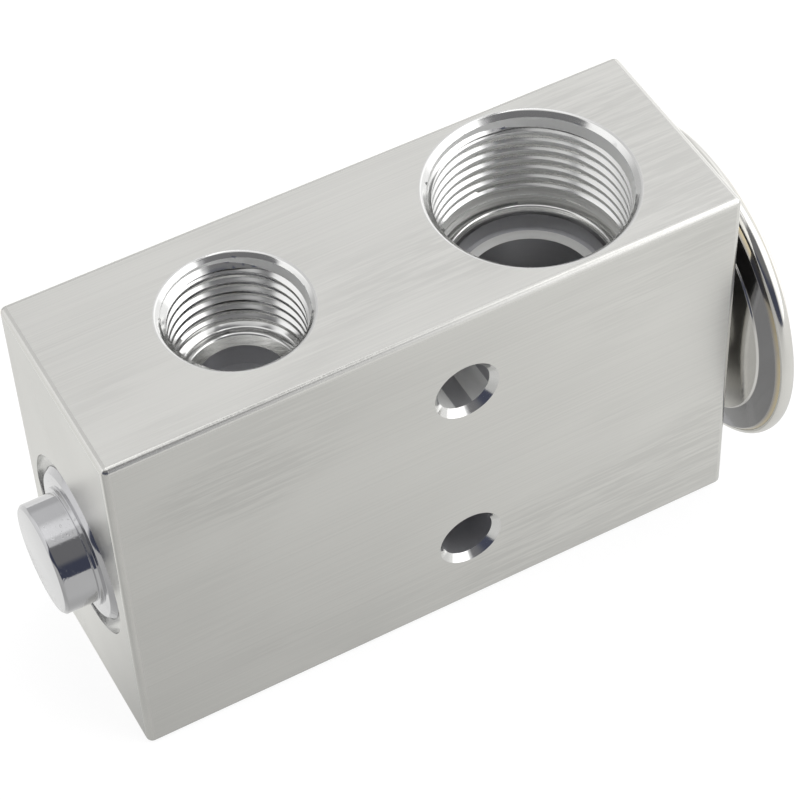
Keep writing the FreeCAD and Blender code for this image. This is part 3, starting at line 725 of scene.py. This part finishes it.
@dataclass(frozen=True)
class Port:
    """One threaded port of the block.

    steps are the (radius, depth) corners below the threaded wall, from its foot inwards. nudge
    keeps a vertex on the near side of the lead's edges.
    """

    name: str
    place: float
    face: float
    inward: int
    mouth: float
    thread: Thread
    foot: float
    steps: tuple[Point, ...]
    lead: Optional[Lead] = None
    segments: int = 192
    lip: float = 0.22
    floor_round: float = 0.3
    nudge: float = 0.0002

    @property
    def lathe(self) -> Lathe:
        """The port's axis."""
        return Lathe(Axis.UPRIGHT, (self.place, 0, 0), self.segments)

    @property
    def opening(self) -> float:
        """Radius at which the rounded mouth meets the face."""
        return self.mouth + self.lip

    def cutter_side(self) -> list[Point]:
        """Outline of the port's space as (height, radius), from the mouth inwards."""
        wall = ((self.opening, -1.0), (self.opening, self.foot))
        return [(self.face + depth * self.inward, radius) for radius, depth in (*wall, *self.steps)]

    def lip_rings(self) -> list[Point]:
        """Give the rounded mouth as (radius, depth), from the face to the chamfer."""
        slope, steps = math.pi / 4, 5
        curve = self.lip / math.tan(slope / 2)
        turns = [slope * n / steps for n in range(steps + 1)]
        return [(self.opening - curve * math.sin(a), curve * (1 - math.cos(a))) for a in turns]

    def wall_radius(self, angle: float, height: float) -> float:
        """Radius of the finished wall: thread, its fading end and the mouth's chamfer.

        Args:
            angle: Turn from +X towards +Y, in radians.
            height: Height in millimetres.

        Returns:
            The radius in millimetres.
        """
        depth = (height - self.face) * self.inward
        radius = self.thread.radius(angle, height)
        start, end = self.thread.fade
        share = min(max((end - depth) / (end - start), 0.0), 1.0)
        radius = min(radius, self.thread.minor + self.thread.height * share)
        if self.lead:
            _, end, edge = self.lead.depths(angle, self.mouth, self.thread)
            if depth < edge:
                leaning = self.lead.slant * max(min(depth, end) - self.mouth + self.lead.radius, 0.0)
                radius = max(self.lead.radius - leaning - max(depth - end, 0.0), self.thread.minor)
        return max(radius, self.mouth - depth)

    def line(self, mesh: Mesh) -> None:
        """Replace the plain wall in a mesh of the block by the threaded one.

        Args:
            mesh: The block's mesh, in metres.
        """
        self.open_wall(mesh)
        rings = self.lip_rings()
        low, high = sorted((self.face + rings[-1][1] * self.inward, self.face + self.foot * self.inward))
        shape = self.thread.shape()
        per_turn, spare = len(shape), 2
        pitch = self.thread.pitch
        first = math.floor((low - self.thread.crest_height) / pitch) - spare
        last = math.ceil((high - self.thread.crest_height) / pitch) + spare
        offsets = [turn_number * pitch + away for turn_number in range(first, last) for away, _ in shape]
        columns = []
        for angle in angles(self.segments):
            heights = self.row_heights(angle, offsets, low, high)
            columns.append([self.vertex(mesh, angle, height) for height in heights])
        for number, here in enumerate(columns):
            there = columns[(number + 1) % self.segments]
            shift = per_turn if number == self.segments - 1 else 0
            for row in range(len(offsets) - 1 - shift):
                self.wall_face(mesh, [here[row], there[row + shift], there[row + shift + 1], here[row + 1]])
        self.rings(mesh, rings)
        corners = [(self.thread.minor, self.foot), *self.steps[: self.floor_count()]]
        floor = soften(corners, self.floor_round, 4, closed=False)
        self.rings(mesh, [(0.0, self.foot), *floor[1:]])

    def floor_count(self) -> int:
        """Count the steps that lie between the wall and the port's well."""
        level = self.steps[1][1] - self.steps[0][1] < ON_AXIS
        return 3 if level else 2

    def row_heights(self, angle: float, offsets: Sequence[float], low: float, high: float) -> list[float]:
        """Give the heights of the wall's vertices at one angle.

        Args:
            angle: Turn about the bore, in radians.
            offsets: Heights above the crest that crest_height names, in millimetres.
            low: Lowest height of the wall.
            high: Highest height of the wall.

        Returns:
            The heights, with one vertex moved onto each edge of the lead.
        """
        crest = self.thread.crest_at(angle)
        heights = [min(max(crest + offset, low), high) for offset in offsets]
        if self.lead:
            for depth in self.lead.depths(angle, self.mouth, self.thread):
                goal = self.face + (depth - self.nudge) * self.inward
                gaps = [abs(height - goal) for height in heights]
                heights[gaps.index(min(gaps))] = goal
        return heights

    def vertex(self, mesh: Mesh, angle: float, height: float, radius: float = 0.0) -> Any:
        """Make one vertex about the port's axis.

        Args:
            mesh: The mesh that receives it.
            angle: Turn about the axis, in radians.
            height: Height in millimetres.
            radius: Distance from the axis in millimetres, or 0 for the threaded wall's own.

        Returns:
            The vertex.
        """
        reach = radius or self.wall_radius(angle, height)
        return mesh.verts.new(self.lathe.point(height, reach, angle))

    def wall_face(self, mesh: Mesh, corners: Sequence[Any]) -> None:
        """Add a face of the wall unless it has no height. The lead's upright faces are matt.

        Args:
            mesh: The mesh that receives it.
            corners: Its vertices.
        """
        heights = [corner.co.z for corner in corners]
        if max(heights) - min(heights) < 1e-9:
            return
        face = mesh.faces.new(corners)
        face.normal_update()
        middle = face.calc_center_median()
        radius = math.hypot(middle.x / MM - self.place, middle.y / MM)
        outermost = self.lead.radius if self.lead else self.thread.major
        upright = abs(face.normal.z) < 0.5 and radius > outermost - 0.5
        face.material_index = Wall.MATT if upright else Wall.BORE

    def rings(self, mesh: Mesh, outline: Sequence[Point]) -> None:
        """Add plain rings, where a radius of 0 stands for the threaded wall's own.

        Args:
            mesh: The mesh that receives the faces.
            outline: The rings as (radius, depth).
        """
        made = []
        for radius, depth in outline:
            height = self.face + depth * self.inward
            made.append([self.vertex(mesh, angle, height, radius) for angle in angles(self.segments)])
        for near, far in zip(made, made[1:]):
            join_rings(mesh, near, far, self.segments, Wall.BORE)

    def open_wall(self, mesh: Mesh) -> None:
        """Delete the plain wall and floor that the cutter left.

        Args:
            mesh: The block's mesh, in metres.
        """
        deep = self.steps[self.floor_count() - 1]
        low, high = sorted((self.face, self.face + deep[1] * self.inward))
        slack = 0.01
        doomed = []
        for face in mesh.faces:
            centre = face.calc_center_median() / MM
            away = math.hypot(centre.x - self.place, centre.y)
            inside = deep[0] * 0.995 < away < self.opening + 0.05
            between = low - slack < centre.z < high + slack
            if inside and between and abs(centre.z - self.face) > 2 * slack:
                doomed.append(face)
        bmesh.ops.delete(mesh, geom=doomed, context="FACES")


# Block


@dataclass(frozen=True)
class PortKind:
    """What the upper and the lower port of one size share.

    ports gives the name of each and its distance from the block's left end.
    """

    ports: tuple[tuple[str, float], ...]
    major: float
    crest_depth: float
    fade: Point
    foot: float
    steps: tuple[Point, ...]
    lead: Lead
    hidden_segments: int


LIQUID = PortKind(
    ports=(("inlet", 22.3), ("outlet", 30.5)),
    major=8.4,
    crest_depth=2.37,
    fade=(9.0, 11.3),
    foot=10.45,
    steps=((7.25, 10.9), (6.35, 10.9), (5.5, 12.05), (5.5, 15.05), (2.6, 15.05)),
    lead=Lead(math.radians(215), 8.31, 2.499),
    hidden_segments=128,
)
SUCTION = PortKind(
    ports=(("suction_out", 59.5), ("suction_in", 59.5)),
    major=12.0,
    crest_depth=2.65,
    fade=(10.9, 13.3),
    foot=13.4,
    steps=((10.0, 13.4), (9.5, 14.4), (9.5, 16.5), (8.9, 16.5), (8.0, 17.0)),
    lead=Lead(math.radians(215), 11.78, 2.164),
    hidden_segments=192,
)


@dataclass
class Block:
    """The aluminium block with its ports, holes and the bore along the valve's axis.

    mouth_zone is the depth under the faces down to which mouths and chamfers are bright; deeper walls get a
    darker colour as painted shade.
    """

    left: float
    right: float
    depth: float
    height: float
    edge_round: float = 0.8
    mouth_margin: float = 0.42
    pitch: float = 1.5
    thread_height: float = 0.7
    hole_middle: float = 25.1
    hole_spacing: float = 26.8
    hole_radius: float = 3.3
    hole_chamfer: float = 0.8
    mouth_zone: float = 1.05
    ports: list[Port] = field(default_factory=list)

    def plan_ports(self) -> None:
        """Work out the four ports, the hidden ones with fewer faces."""
        for kind in (LIQUID, SUCTION):
            upper, lower = kind.ports
            self.ports.append(self.port(kind, *upper, self.height, -1, True))
            self.ports.append(self.port(kind, *lower, 0.0, 1, False))

    def port(self, kind: PortKind, name: str, station: float, face: float, inward: int, seen: bool) -> Port:
        """Plan one port.

        Args:
            kind: Its size and depths.
            name: Its name.
            station: Its distance from the block's left end.
            face: Height of the block's face that it opens.
            inward: Which way its bore goes, 1 for up.
            seen: Whether it gets a lead and a fine thread.

        Returns:
            The port.
        """
        crest_height = face + kind.crest_depth * inward
        thread = Thread(kind.major, self.thread_height, self.pitch, crest_height, kind.fade, fine=seen)
        place, mouth = self.left + station, kind.major + self.mouth_margin
        lead, segments = (kind.lead, 192) if seen else (None, kind.hidden_segments)
        return Port(name, place, face, inward, mouth, thread, kind.foot, kind.steps, lead, segments)

    def blank(self) -> Object:
        """Make the bar with its broken edges."""
        mesh = bmesh.new()
        size = Vector((self.right - self.left, self.depth, self.height)) * MM
        middle = Vector(((self.right + self.left) / 2, 0, self.height / 2)) * MM
        placed = Matrix.Translation(middle) @ Matrix.Diagonal((*size, 1.0))
        bmesh.ops.create_cube(mesh, size=1.0, matrix=placed)
        reach = self.edge_round * MM
        edges = mesh.edges[:]
        bmesh.ops.bevel(
            mesh, geom=edges, offset=reach, segments=6, profile=0.5, affect="EDGES", clamp_overlap=True
        )
        return finish_mesh(mesh, "valve_body_dressed", [])

    def cutters(self) -> list[Object]:
        """Make the tools that open the ports, the holes and the axis bore."""
        inlet, outlet, upper, lower = self.ports
        made = []
        for port in (inlet, outlet):
            side = port.cutter_side()
            outline = [(port.face - port.inward, 0.0), *side, (AXIS_HEIGHT, side[-1][1]), (AXIS_HEIGHT, 0.0)]
            made.append(port.lathe.solid(outline, "cut_" + port.name))
        through = [(upper.face + 1, 0.0), *upper.cutter_side(), *reversed(lower.cutter_side()), (-1.0, 0.0)]
        made.append(upper.lathe.solid(through, "cut_suction"))
        half = self.depth / 2
        radius, chamfer = self.hole_radius, self.hole_chamfer
        wide = radius + chamfer
        front = [(-half - 1, 0.0), (-half - 1, wide), (-half, wide), (-half + chamfer, radius)]
        hole = front + [(-along, reach) for along, reach in reversed(front)]
        for side in (-0.5, 0.5):
            middle = (0, 0, self.hole_middle + self.hole_spacing * side)
            made.append(Lathe(Axis.ACROSS, middle, 96).solid(hole, "cut_hole"))
        made.append(Lathe(Axis.VALVE, (0, 0, AXIS_HEIGHT), 128).solid(self.axis_outline(), "cut_axis"))
        return made

    def axis_outline(self) -> list[Point]:
        """Outline of the bore along the valve's axis as (along, radius)."""
        left, right, passage = self.left, self.right, self.ports[-1].place
        outline = [(left - 1, 0.0)]
        for end, radius in (
            (left + 1.0, 11.1), (left + 6.0, 8.0), (left + 25.3, 6.5), (left + 27.8, 4.0), (left + 33.5, 3.4),
            (passage - 11.0, 3.05), (passage, 5.0), (right - 8.0, 4.2), (right - 1.5, 9.0),
        ):
            outline += [(outline[-1][0], radius), (end, radius)]
        return [*outline, (right, 10.5), (right + 1, 10.5), (right + 1, 0.0)]

    def build(self) -> Object:
        """Make the finished block.

        Returns:
            The block's object, which stands for the node valve_body.
        """
        self.plan_ports()
        body = self.blank()
        tools = self.cutters()
        for tool in tools:
            cut = body.modifiers.new(tool.name, "BOOLEAN")
            cut.operation = "DIFFERENCE"
            cut.solver = "EXACT"
            cut.object = tool
        graph = bpy.context.evaluated_depsgraph_get()
        data = bpy.data.meshes.new_from_object(body.evaluated_get(graph))
        mesh = bmesh.new()
        mesh.from_mesh(data)
        for item in (body, *tools):
            bpy.data.objects.remove(item)
        self.mark_bores(mesh)
        for port in self.ports:
            port.line(mesh)
        bmesh.ops.remove_doubles(mesh, verts=mesh.verts, dist=SAME_POINT)
        bmesh.ops.dissolve_degenerate(mesh, edges=mesh.edges, dist=NO_LENGTH)
        mesh.verts.index_update()
        loose = {vert.index: vert for edge in mesh.edges if not edge.is_manifold for vert in edge.verts}
        rim = [loose[index] for index in sorted(loose)]
        bmesh.ops.remove_doubles(mesh, verts=rim, dist=SEAM_GAP)
        loose = [edge for edge in mesh.edges if not edge.is_manifold]
        log.info("valve body: %d faces, %d open edges", len(mesh.faces), len(loose))
        finishes = [finish.material() for finish in (BAR, BORE, DEEP_PAINTED_SHADE, MATT_BORE, BROKEN_EDGE)]
        made = finish_mesh(mesh, "valve_body_dressed", finishes)
        weights = made.modifiers.new("even_shading", "WEIGHTED_NORMAL")
        weights.keep_sharp = True
        weights.weight = 100
        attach(made, "housing")
        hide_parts("valve_body")
        return made

    def mark_bores(self, mesh: Mesh) -> None:
        """Give the bored walls their own finish, darker as painted shade on the deep ones, and the outside of
        the bar the brushed one.

        Args:
            mesh: The block's mesh, in metres.
        """
        low = Vector((self.left, -self.depth / 2, 0.0))
        high = Vector((self.right, self.depth / 2, self.height))
        for face in mesh.faces:
            centre = face.calc_center_median() / MM
            gap = min(*(centre - low), *(high - centre))
            normal = face.normal
            square_on = max(abs(part) for part in normal) > 0.999
            outside = gap < 0.01 and square_on
            edge = gap < self.edge_round * 0.6 and self.on_edge(centre, low, high)
            cone = 0.3 < abs(normal.z) < 0.95 and math.hypot(normal.x, normal.y) > 0.3
            # Walls deeper than mouth_zone, except cones above the axis, take the darker colour of painted
            # shade.
            deep = gap > self.mouth_zone
            in_painted_shade = deep and not (cone and centre.z > AXIS_HEIGHT)
            bored = Wall.DEEP_PAINTED_SHADE if in_painted_shade else Wall.MATT if deep else Wall.BORE
            face.material_index = Wall.BAR if outside else Wall.EDGE if edge else bored

    def on_edge(self, centre: Vector, low: Vector, high: Vector) -> bool:
        """Tell whether a point lies on a broken edge of the bar.

        Args:
            centre: The point, in millimetres.
            low: The bar's lowest corner.
            high: The bar's highest corner.

        Returns:
            True where two of its distances to the bar's sides are small.
        """
        gaps = sorted(min(centre[n] - low[n], high[n] - centre[n]) for n in range(3))
        return gaps[1] < self.edge_round


# Turned pieces on the valve's axis


@dataclass(frozen=True)
class TurnedPiece:
    """A lathe-turned piece that stands for one node of the frame."""

    node: str
    slot: str
    finish: Finish
    outline: tuple[Point, ...]
    softness: float = 0.12
    segments: int = 192

    def build(self) -> Object:
        """Make the piece with softened edges.

        Returns:
            The object, which replaces its node.
        """
        outline = soften(self.outline, self.softness)
        lathe = Lathe(Axis.VALVE, (0, 0, AXIS_HEIGHT), self.segments)
        made = lathe.solid(outline, self.node + "_dressed", self.finish.material(), sharp=40.0)
        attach(made, "housing")
        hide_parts(self.node)
        log.info("%s: %d faces", self.node, len(made.data.polygons))
        return made


@dataclass
class Plug:
    """The closing plug in its recess."""

    left: float
    flange: float = 9.55
    bevel: float = 0.65
    proud: float = 0.2
    collar: float = 7.3
    stub: float = 6.75
    reach: float = 4.64

    def build(self) -> Object:
        """Make the plug.

        Returns:
            The plug's object.
        """
        floor = self.left + 1.0
        face = self.left - self.proud
        end = self.left - self.reach
        back = floor + 4.4
        outline = (
            (end, 0.0), (end, self.stub - 0.35), (end + 0.35, self.stub), (face - 0.45, self.stub),
            (face - 0.45, self.collar), (face, self.collar), (face, self.flange - self.bevel),
            (face + self.bevel, self.flange), (floor, self.flange), (floor, 6.6), (floor + 1.5, 6.6),
            (floor + 1.5, 7.9), (back - 0.5, 7.9), (back, 7.4), (back, 4.6), (back - 2.6, 4.6),
            (back - 2.6 - 1.84, 0.0),
        )
        return TurnedPiece("end_plug", "plug_zinc", ZINC, outline, 0.1, 160).build()


@dataclass
class PowerHead:
    """The welded head: lower shell with its neck, lid, weld bead and charge ball."""

    right: float
    shell: float = 20.05
    hub: float = 16.6
    lid_top_radius: float = 14.4
    lid_height: float = 3.8

    def build(self) -> list[Object]:
        """Make the pieces of the head that can be seen.

        Returns:
            The objects.
        """
        plane = self.right + 3.5
        return [self.base(plane), self.lid(plane + 0.2), self.bead(plane + 0.1), self.ball(plane + 0.2)]

    def base(self, plane: float) -> Object:
        """Make the lower shell and neck.

        Args:
            plane: Where the diaphragm is clamped.

        Returns:
            The object.
        """
        right, shell = self.right, self.shell
        outline = (
            (right - 7.5, 6.0), (right - 7.5, 8.4), (right - 7.0, 8.9), (right - 1.6, 8.9),
            (right - 1.6, 8.5), (right, 8.5), (right, 11.0), (right + 1.0, 11.0), (right + 1.65, self.hub),
            (right + 1.9, self.hub + 0.1), (right + 2.3, shell - 0.45), (right + 2.75, shell), (plane, shell),
            (plane, shell - 2.25), (plane - 0.44, shell - 2.25), (plane - 0.44, 14.0), (plane - 1.32, 14.0),
            (plane - 1.32, 6.0),
        )
        return TurnedPiece("head_base", "head_steel", SHELL, outline, 0.06, 256).build()

    def lid(self, plane: float) -> Object:
        """Make the lid.

        Args:
            plane: Its lower face.

        Returns:
            The object.
        """
        shell, top, flat = self.shell, plane + self.lid_height, self.lid_top_radius
        outline = (
            (plane, shell), (plane + 0.7, shell), (plane + 1.05, shell - 0.25), (top - 0.3, flat + 0.9),
            (top, flat), (top, 3.5), (top - 0.7, 2.6), (top - 0.7, 1.5), (top - 1.5, 1.5), (top - 1.5, 3.3),
            (top - 1.0, 4.2), (top - 1.0, flat - 0.4), (top - 1.3, flat - 0.1), (plane + 0.4, shell - 1.75),
            (plane, shell - 1.45),
        )
        return TurnedPiece("head_lid", "lid_steel", LID, outline, 0.3, 256).build()

    def bead(self, middle: float) -> Object:
        """Make the weld bead round the rim.

        Args:
            middle: Its middle along the axis.

        Returns:
            The object.
        """
        turns = [math.pi * step / 16 for step in range(17)]
        outline = tuple((middle - 0.875 * math.cos(a), self.shell + 0.7 * math.sin(a) ** 0.75) for a in turns)
        return TurnedPiece("rim_weld", "weld_steel", WELD, outline, 0.0, 256).build()

    def ball(self, plane: float) -> Object:
        """Make the ball that closes the charge hole.

        Args:
            plane: The lid's lower face.

        Returns:
            The object.
        """
        radius, hole = 1.9, 1.5
        middle = plane + self.lid_height - 0.7 + math.sqrt(radius**2 - hole**2) + 0.02
        steps = 24
        outline = tuple(
            (middle - radius * math.cos(math.pi * n / steps), radius * math.sin(math.pi * n / steps))
            for n in range(steps + 1)
        )
        return TurnedPiece("charge_plug", "charge_ball_steel", POLISHED, outline, 0.0, 48).build()


# Pieces that keep their own solids


@dataclass
class Spring:
    """The superheat spring, which shortens as the stem opens the valve."""

    coil: float = 4.3
    wire: float = 0.6
    pitch: float = 1.95
    sunk: float = 0.3
    per_turn: int = 48
    around: int = 14

    def build(self) -> Object:
        """Make the coil with its ends ground flat.

        Returns:
            The coil's object.
        """
        low, high = (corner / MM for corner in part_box("superheat_spring"))
        first = low.x + self.wire - self.sunk
        turns = (high.x - low.x - 2 * (self.wire - self.sunk)) / self.pitch
        count = round(turns * self.per_turn)
        mesh = bmesh.new()
        rings = []
        for number in range(count + 1):
            turned = math.tau * turns * number / count
            along = first + self.pitch * turned / math.tau
            ring = []
            for angle in angles(self.around):
                radius = self.coil + self.wire * math.cos(angle)
                place = min(max(along + self.wire * math.sin(angle), low.x), high.x)
                spot = Vector((place, -radius * math.sin(turned), AXIS_HEIGHT + radius * math.cos(turned)))
                ring.append(mesh.verts.new(spot * MM))
            rings.append(ring)
        for here, there in zip(rings, rings[1:]):
            join_rings(mesh, here, there, self.around)
        mesh.faces.new(reversed(rings[0]))
        mesh.faces.new(rings[-1])
        made = finish_mesh(mesh, "superheat_spring_dressed", [SPRING_STEEL.material()], 40.0)
        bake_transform(made)
        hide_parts("superheat_spring")
        log.info("superheat_spring: %d faces", len(made.data.polygons))
        return made


@dataclass
class Works:
    """Pieces inside the valve, which keep the solids of the frame and get their finishes."""

    finishes: dict[str, Finish] = field(
        default_factory=lambda: {
            "plug_oring": RUBBER,
            "adjusting_screw": BRASS,
            "damper_spring": SPRING_STEEL,
            "ball_carrier": BRASS,
            "valve_ball": POLISHED,
            "valve_seat": TURNED_STEEL,
            "push_pin": TURNED_STEEL,
            "sensing_rod": ROD,
            "rod_oring": RUBBER,
            "seal_retainer": SPRING_STEEL,
            "head_oring": RUBBER,
            "diaphragm_pad": BRASS,
            "diaphragm": TURNED_STEEL,
        }
    )

    def dress(self, nodes: dict[str, Object]) -> None:
        """Give each node its finish.

        Args:
            nodes: The frame's objects by name.
        """
        made: dict[str, Material] = {}
        for name, finish in self.finishes.items():
            if finish.name not in made:
                made[finish.name] = finish.material()
            slots = nodes[name].data.materials
            slots.clear()
            slots.append(made[finish.name])
            log.info("%s: %s", name, finish.name)


# Studio


@dataclass
class Studio:
    """Floor, light and camera."""

    lens: float = 130.8945
    camera_place: tuple[float, float, float] = (-99.4465, -198.5534, 285.1289)
    right: tuple[float, float, float] = (0.878587, -0.476428, -0.033169)
    up: tuple[float, float, float] = (0.382714, 0.660818, 0.645639)
    back: tuple[float, float, float] = (-0.285682, -0.579944, 0.762922)

    def camera(self) -> None:
        """Place the camera."""
        data = bpy.data.cameras.new("view_camera")
        data.sensor_width = 36.0
        data.lens = self.lens
        data.clip_start, data.clip_end = 0.01, 20.0
        made = bpy.data.objects.new("view_camera", data)
        turned = Matrix((self.right, self.up, self.back)).transposed().to_4x4()
        made.matrix_world = Matrix.Translation(Vector(self.camera_place) * MM) @ turned
        bpy.context.scene.collection.objects.link(made)
        bpy.context.scene.camera = made

    def floor(self) -> None:
        """Lay a pale floor that shows white behind the object and keeps its soft shadow; in reflections it
        glows with a painted brightness that holds a painted shadow under and in front of the block.
        """
        mesh = bmesh.new()
        below = Matrix.Translation((0, 0, -0.0001))
        bmesh.ops.create_grid(mesh, x_segments=1, y_segments=1, size=3.0, matrix=below)
        material = bpy.data.materials.new("pale_floor")
        material.use_nodes = True
        graph = Graph(material.node_tree)
        paths = graph.add("ShaderNodeLightPath")
        matt = graph.add("ShaderNodeBsdfDiffuse", {"Color": (0.80, 0.80, 0.79, 1.0)})
        faint = graph.add("ShaderNodeBsdfDiffuse", {"Color": (0.30, 0.30, 0.30, 1.0)})
        white = graph.add("ShaderNodeEmission", {"Color": (1.0, 1.0, 1.0, 1.0), "Strength": 0.84})
        seen = graph.add("ShaderNodeAddShader", {0: faint.outputs[0], 1: white.outputs[0]})
        strength = self.falloff(graph)
        # The floor glows in reflections only: a painted reflection, not a lamp.
        mirrored = graph.add("ShaderNodeEmission", {"Color": (1.0, 1.0, 0.985, 1.0), "Strength": strength})
        surface = matt
        for ray, other in (("Is Glossy Ray", mirrored), ("Is Camera Ray", seen)):
            shaders = {0: paths.outputs[ray], 1: surface.outputs[0], 2: other.outputs[0]}
            surface = graph.add("ShaderNodeMixShader", shaders)
        graph.add("ShaderNodeOutputMaterial", {0: surface.outputs[0]})
        finish_mesh(mesh, "floor", [material])

    def falloff(self, graph: Graph) -> Socket:
        """Give the floor's painted brightness in reflections, which grows to the right and to the back, with
        painted shadow in front of and under the block.

        Args:
            graph: The floor's graph.

        Returns:
            The socket of the strength.
        """
        x, y, _ = graph.parts()
        right = graph.ramp(x, -0.10, 0.09, 0.55, 0.88)
        behind = graph.ramp(y, -0.014, 0.012, 0.0, 0.39)
        # Painted shadow in reflections on the floor just in front of the block.
        before = graph.ramp(y, -0.032, -0.014, 0.0, -0.08)
        open_floor = graph.plus(right, behind, before)
        # Painted shadow in reflections on the floor under the block.
        aside = graph.ramp(graph.math("ABSOLUTE", graph.plus(x, 0.004)), 0.034, 0.040)
        clear = graph.ramp(graph.math("ABSOLUTE", y), 0.0115, 0.0145)
        lit = graph.math("MAXIMUM", aside, clear)
        return graph.times(open_floor, graph.plus(graph.times(lit, 0.92), 0.08))

    def sky(self) -> None:
        """Surround the object with soft white light that leaves a dark field behind the camera."""
        world = bpy.data.worlds.new("soft_box")
        bpy.context.scene.world = world
        world.use_nodes = True
        graph = Graph(world.node_tree)
        ramp, times = graph.ramp, graph.times
        across, along, up = graph.parts("Generated")
        sides = graph.plus(
            ramp(across, 0.12, 0.30, 0.70, 0.83),
            ramp(graph.math("ABSOLUTE", across), 0.45, 0.70, 0.0, 0.43),
        )
        above = ramp(up, 0.84, 0.975, 0.0, 0.32)
        lamp = times(ramp(across, 0.30, 0.38, 0.0, 0.8), ramp(along, -0.15, 0.05, 1.0, 0.0))
        bright = graph.plus(sides, above, lamp)
        glow = times(
            ramp(across, 0.170, 0.195, 0.8, 0.0),
            ramp(across, 0.05, 0.12),
            ramp(along, 0.25, 0.50, 1.0, 0.0),
            ramp(up, 0.80, 0.90),
        )
        strip = times(
            ramp(across, 0.185, 0.20),
            ramp(across, 0.27, 0.31, 1.0, 0.0),
            ramp(along, -0.30, -0.22),
            ramp(along, 0.10, 0.22, 1.0, 0.0),
        )
        field_behind = times(
            ramp(across, 0.05, 0.16, 1.0, 0.0),
            ramp(across, -0.50, -0.30),
            ramp(along, -0.15, -0.05, 1.0, 0.0),
            ramp(up, 0.84, 0.90),
        )
        bright = graph.plus(bright, glow)
        for shade, share in ((strip, 0.8), (field_behind, 0.32)):
            bright = times(bright, graph.math("SUBTRACT", 1.0, times(shade, share)))
        bright = times(bright, ramp(up, 0.30, 0.50, 0.80, 1.0))
        step = times(ramp(across, 0.10, 0.15), 0.018)
        ceiling = graph.plus(ramp(across, -0.50, 0.0, 0.86, 0.925), step)
        lowered = ramp(across, 0.172, 0.25, 0.0, 0.093)
        over = graph.math("SUBTRACT", up, graph.math("SUBTRACT", ceiling, lowered))
        edge = ramp(up, 0.35, 0.60, 0.18, 0.30)
        blur = ramp(up, 0.70, 0.86, 0.07, 0.22)
        past_edge = graph.math("DIVIDE", graph.math("SUBTRACT", across, edge), blur)
        dark = times(
            ramp(past_edge, -0.4, 0.6, 1.0, 0.0),
            ramp(along, -0.06, 0.05, 1.0, 0.0),
            ramp(over, -0.006, 0.014, 1.0, 0.0),
            ramp(up, -0.09, -0.05),
        )
        dusk = graph.mix(ramp(up, 0.38, 0.58), (0.065, 0.072, 0.105), (0.185, 0.185, 0.190))
        white = graph.add("ShaderNodeCombineXYZ", {"X": bright, "Y": bright, "Z": bright}).outputs[0]
        half_lit = times(ramp(across, 0.18, 0.22), ramp(up, 0.66, 0.72, 1.0, 0.0))
        dusk = graph.mix(half_lit, dusk, (0.48, 0.48, 0.49))
        colour = graph.mix(dark, white, dusk)
        paths = graph.add("ShaderNodeLightPath").outputs["Is Camera Ray"]
        colour = graph.mix(paths, colour, (1.0, 1.0, 1.0))
        light = graph.add("ShaderNodeBackground", {"Color": colour, "Strength": 1.0})
        graph.add("ShaderNodeOutputWorld", {0: light.outputs[0]})

    def build(self) -> None:
        """Set up the whole studio."""
        self.camera()
        self.floor()
        self.sky()
        bpy.context.scene.view_settings.view_transform = "Standard"


def main() -> None:
    """Build the valve and its studio, and report each piece."""
    logging.basicConfig(level=logging.INFO, format="%(name)s %(message)s")
    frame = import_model()
    low, high = (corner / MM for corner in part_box("valve_body"))
    Studio().build()
    Block(low.x, high.x, high.y - low.y, high.z).build()
    Plug(low.x).build()
    PowerHead(high.x).build()
    Spring().build()
    Works().dress(frame["nodes"])


if __name__ == "__main__":
    main()
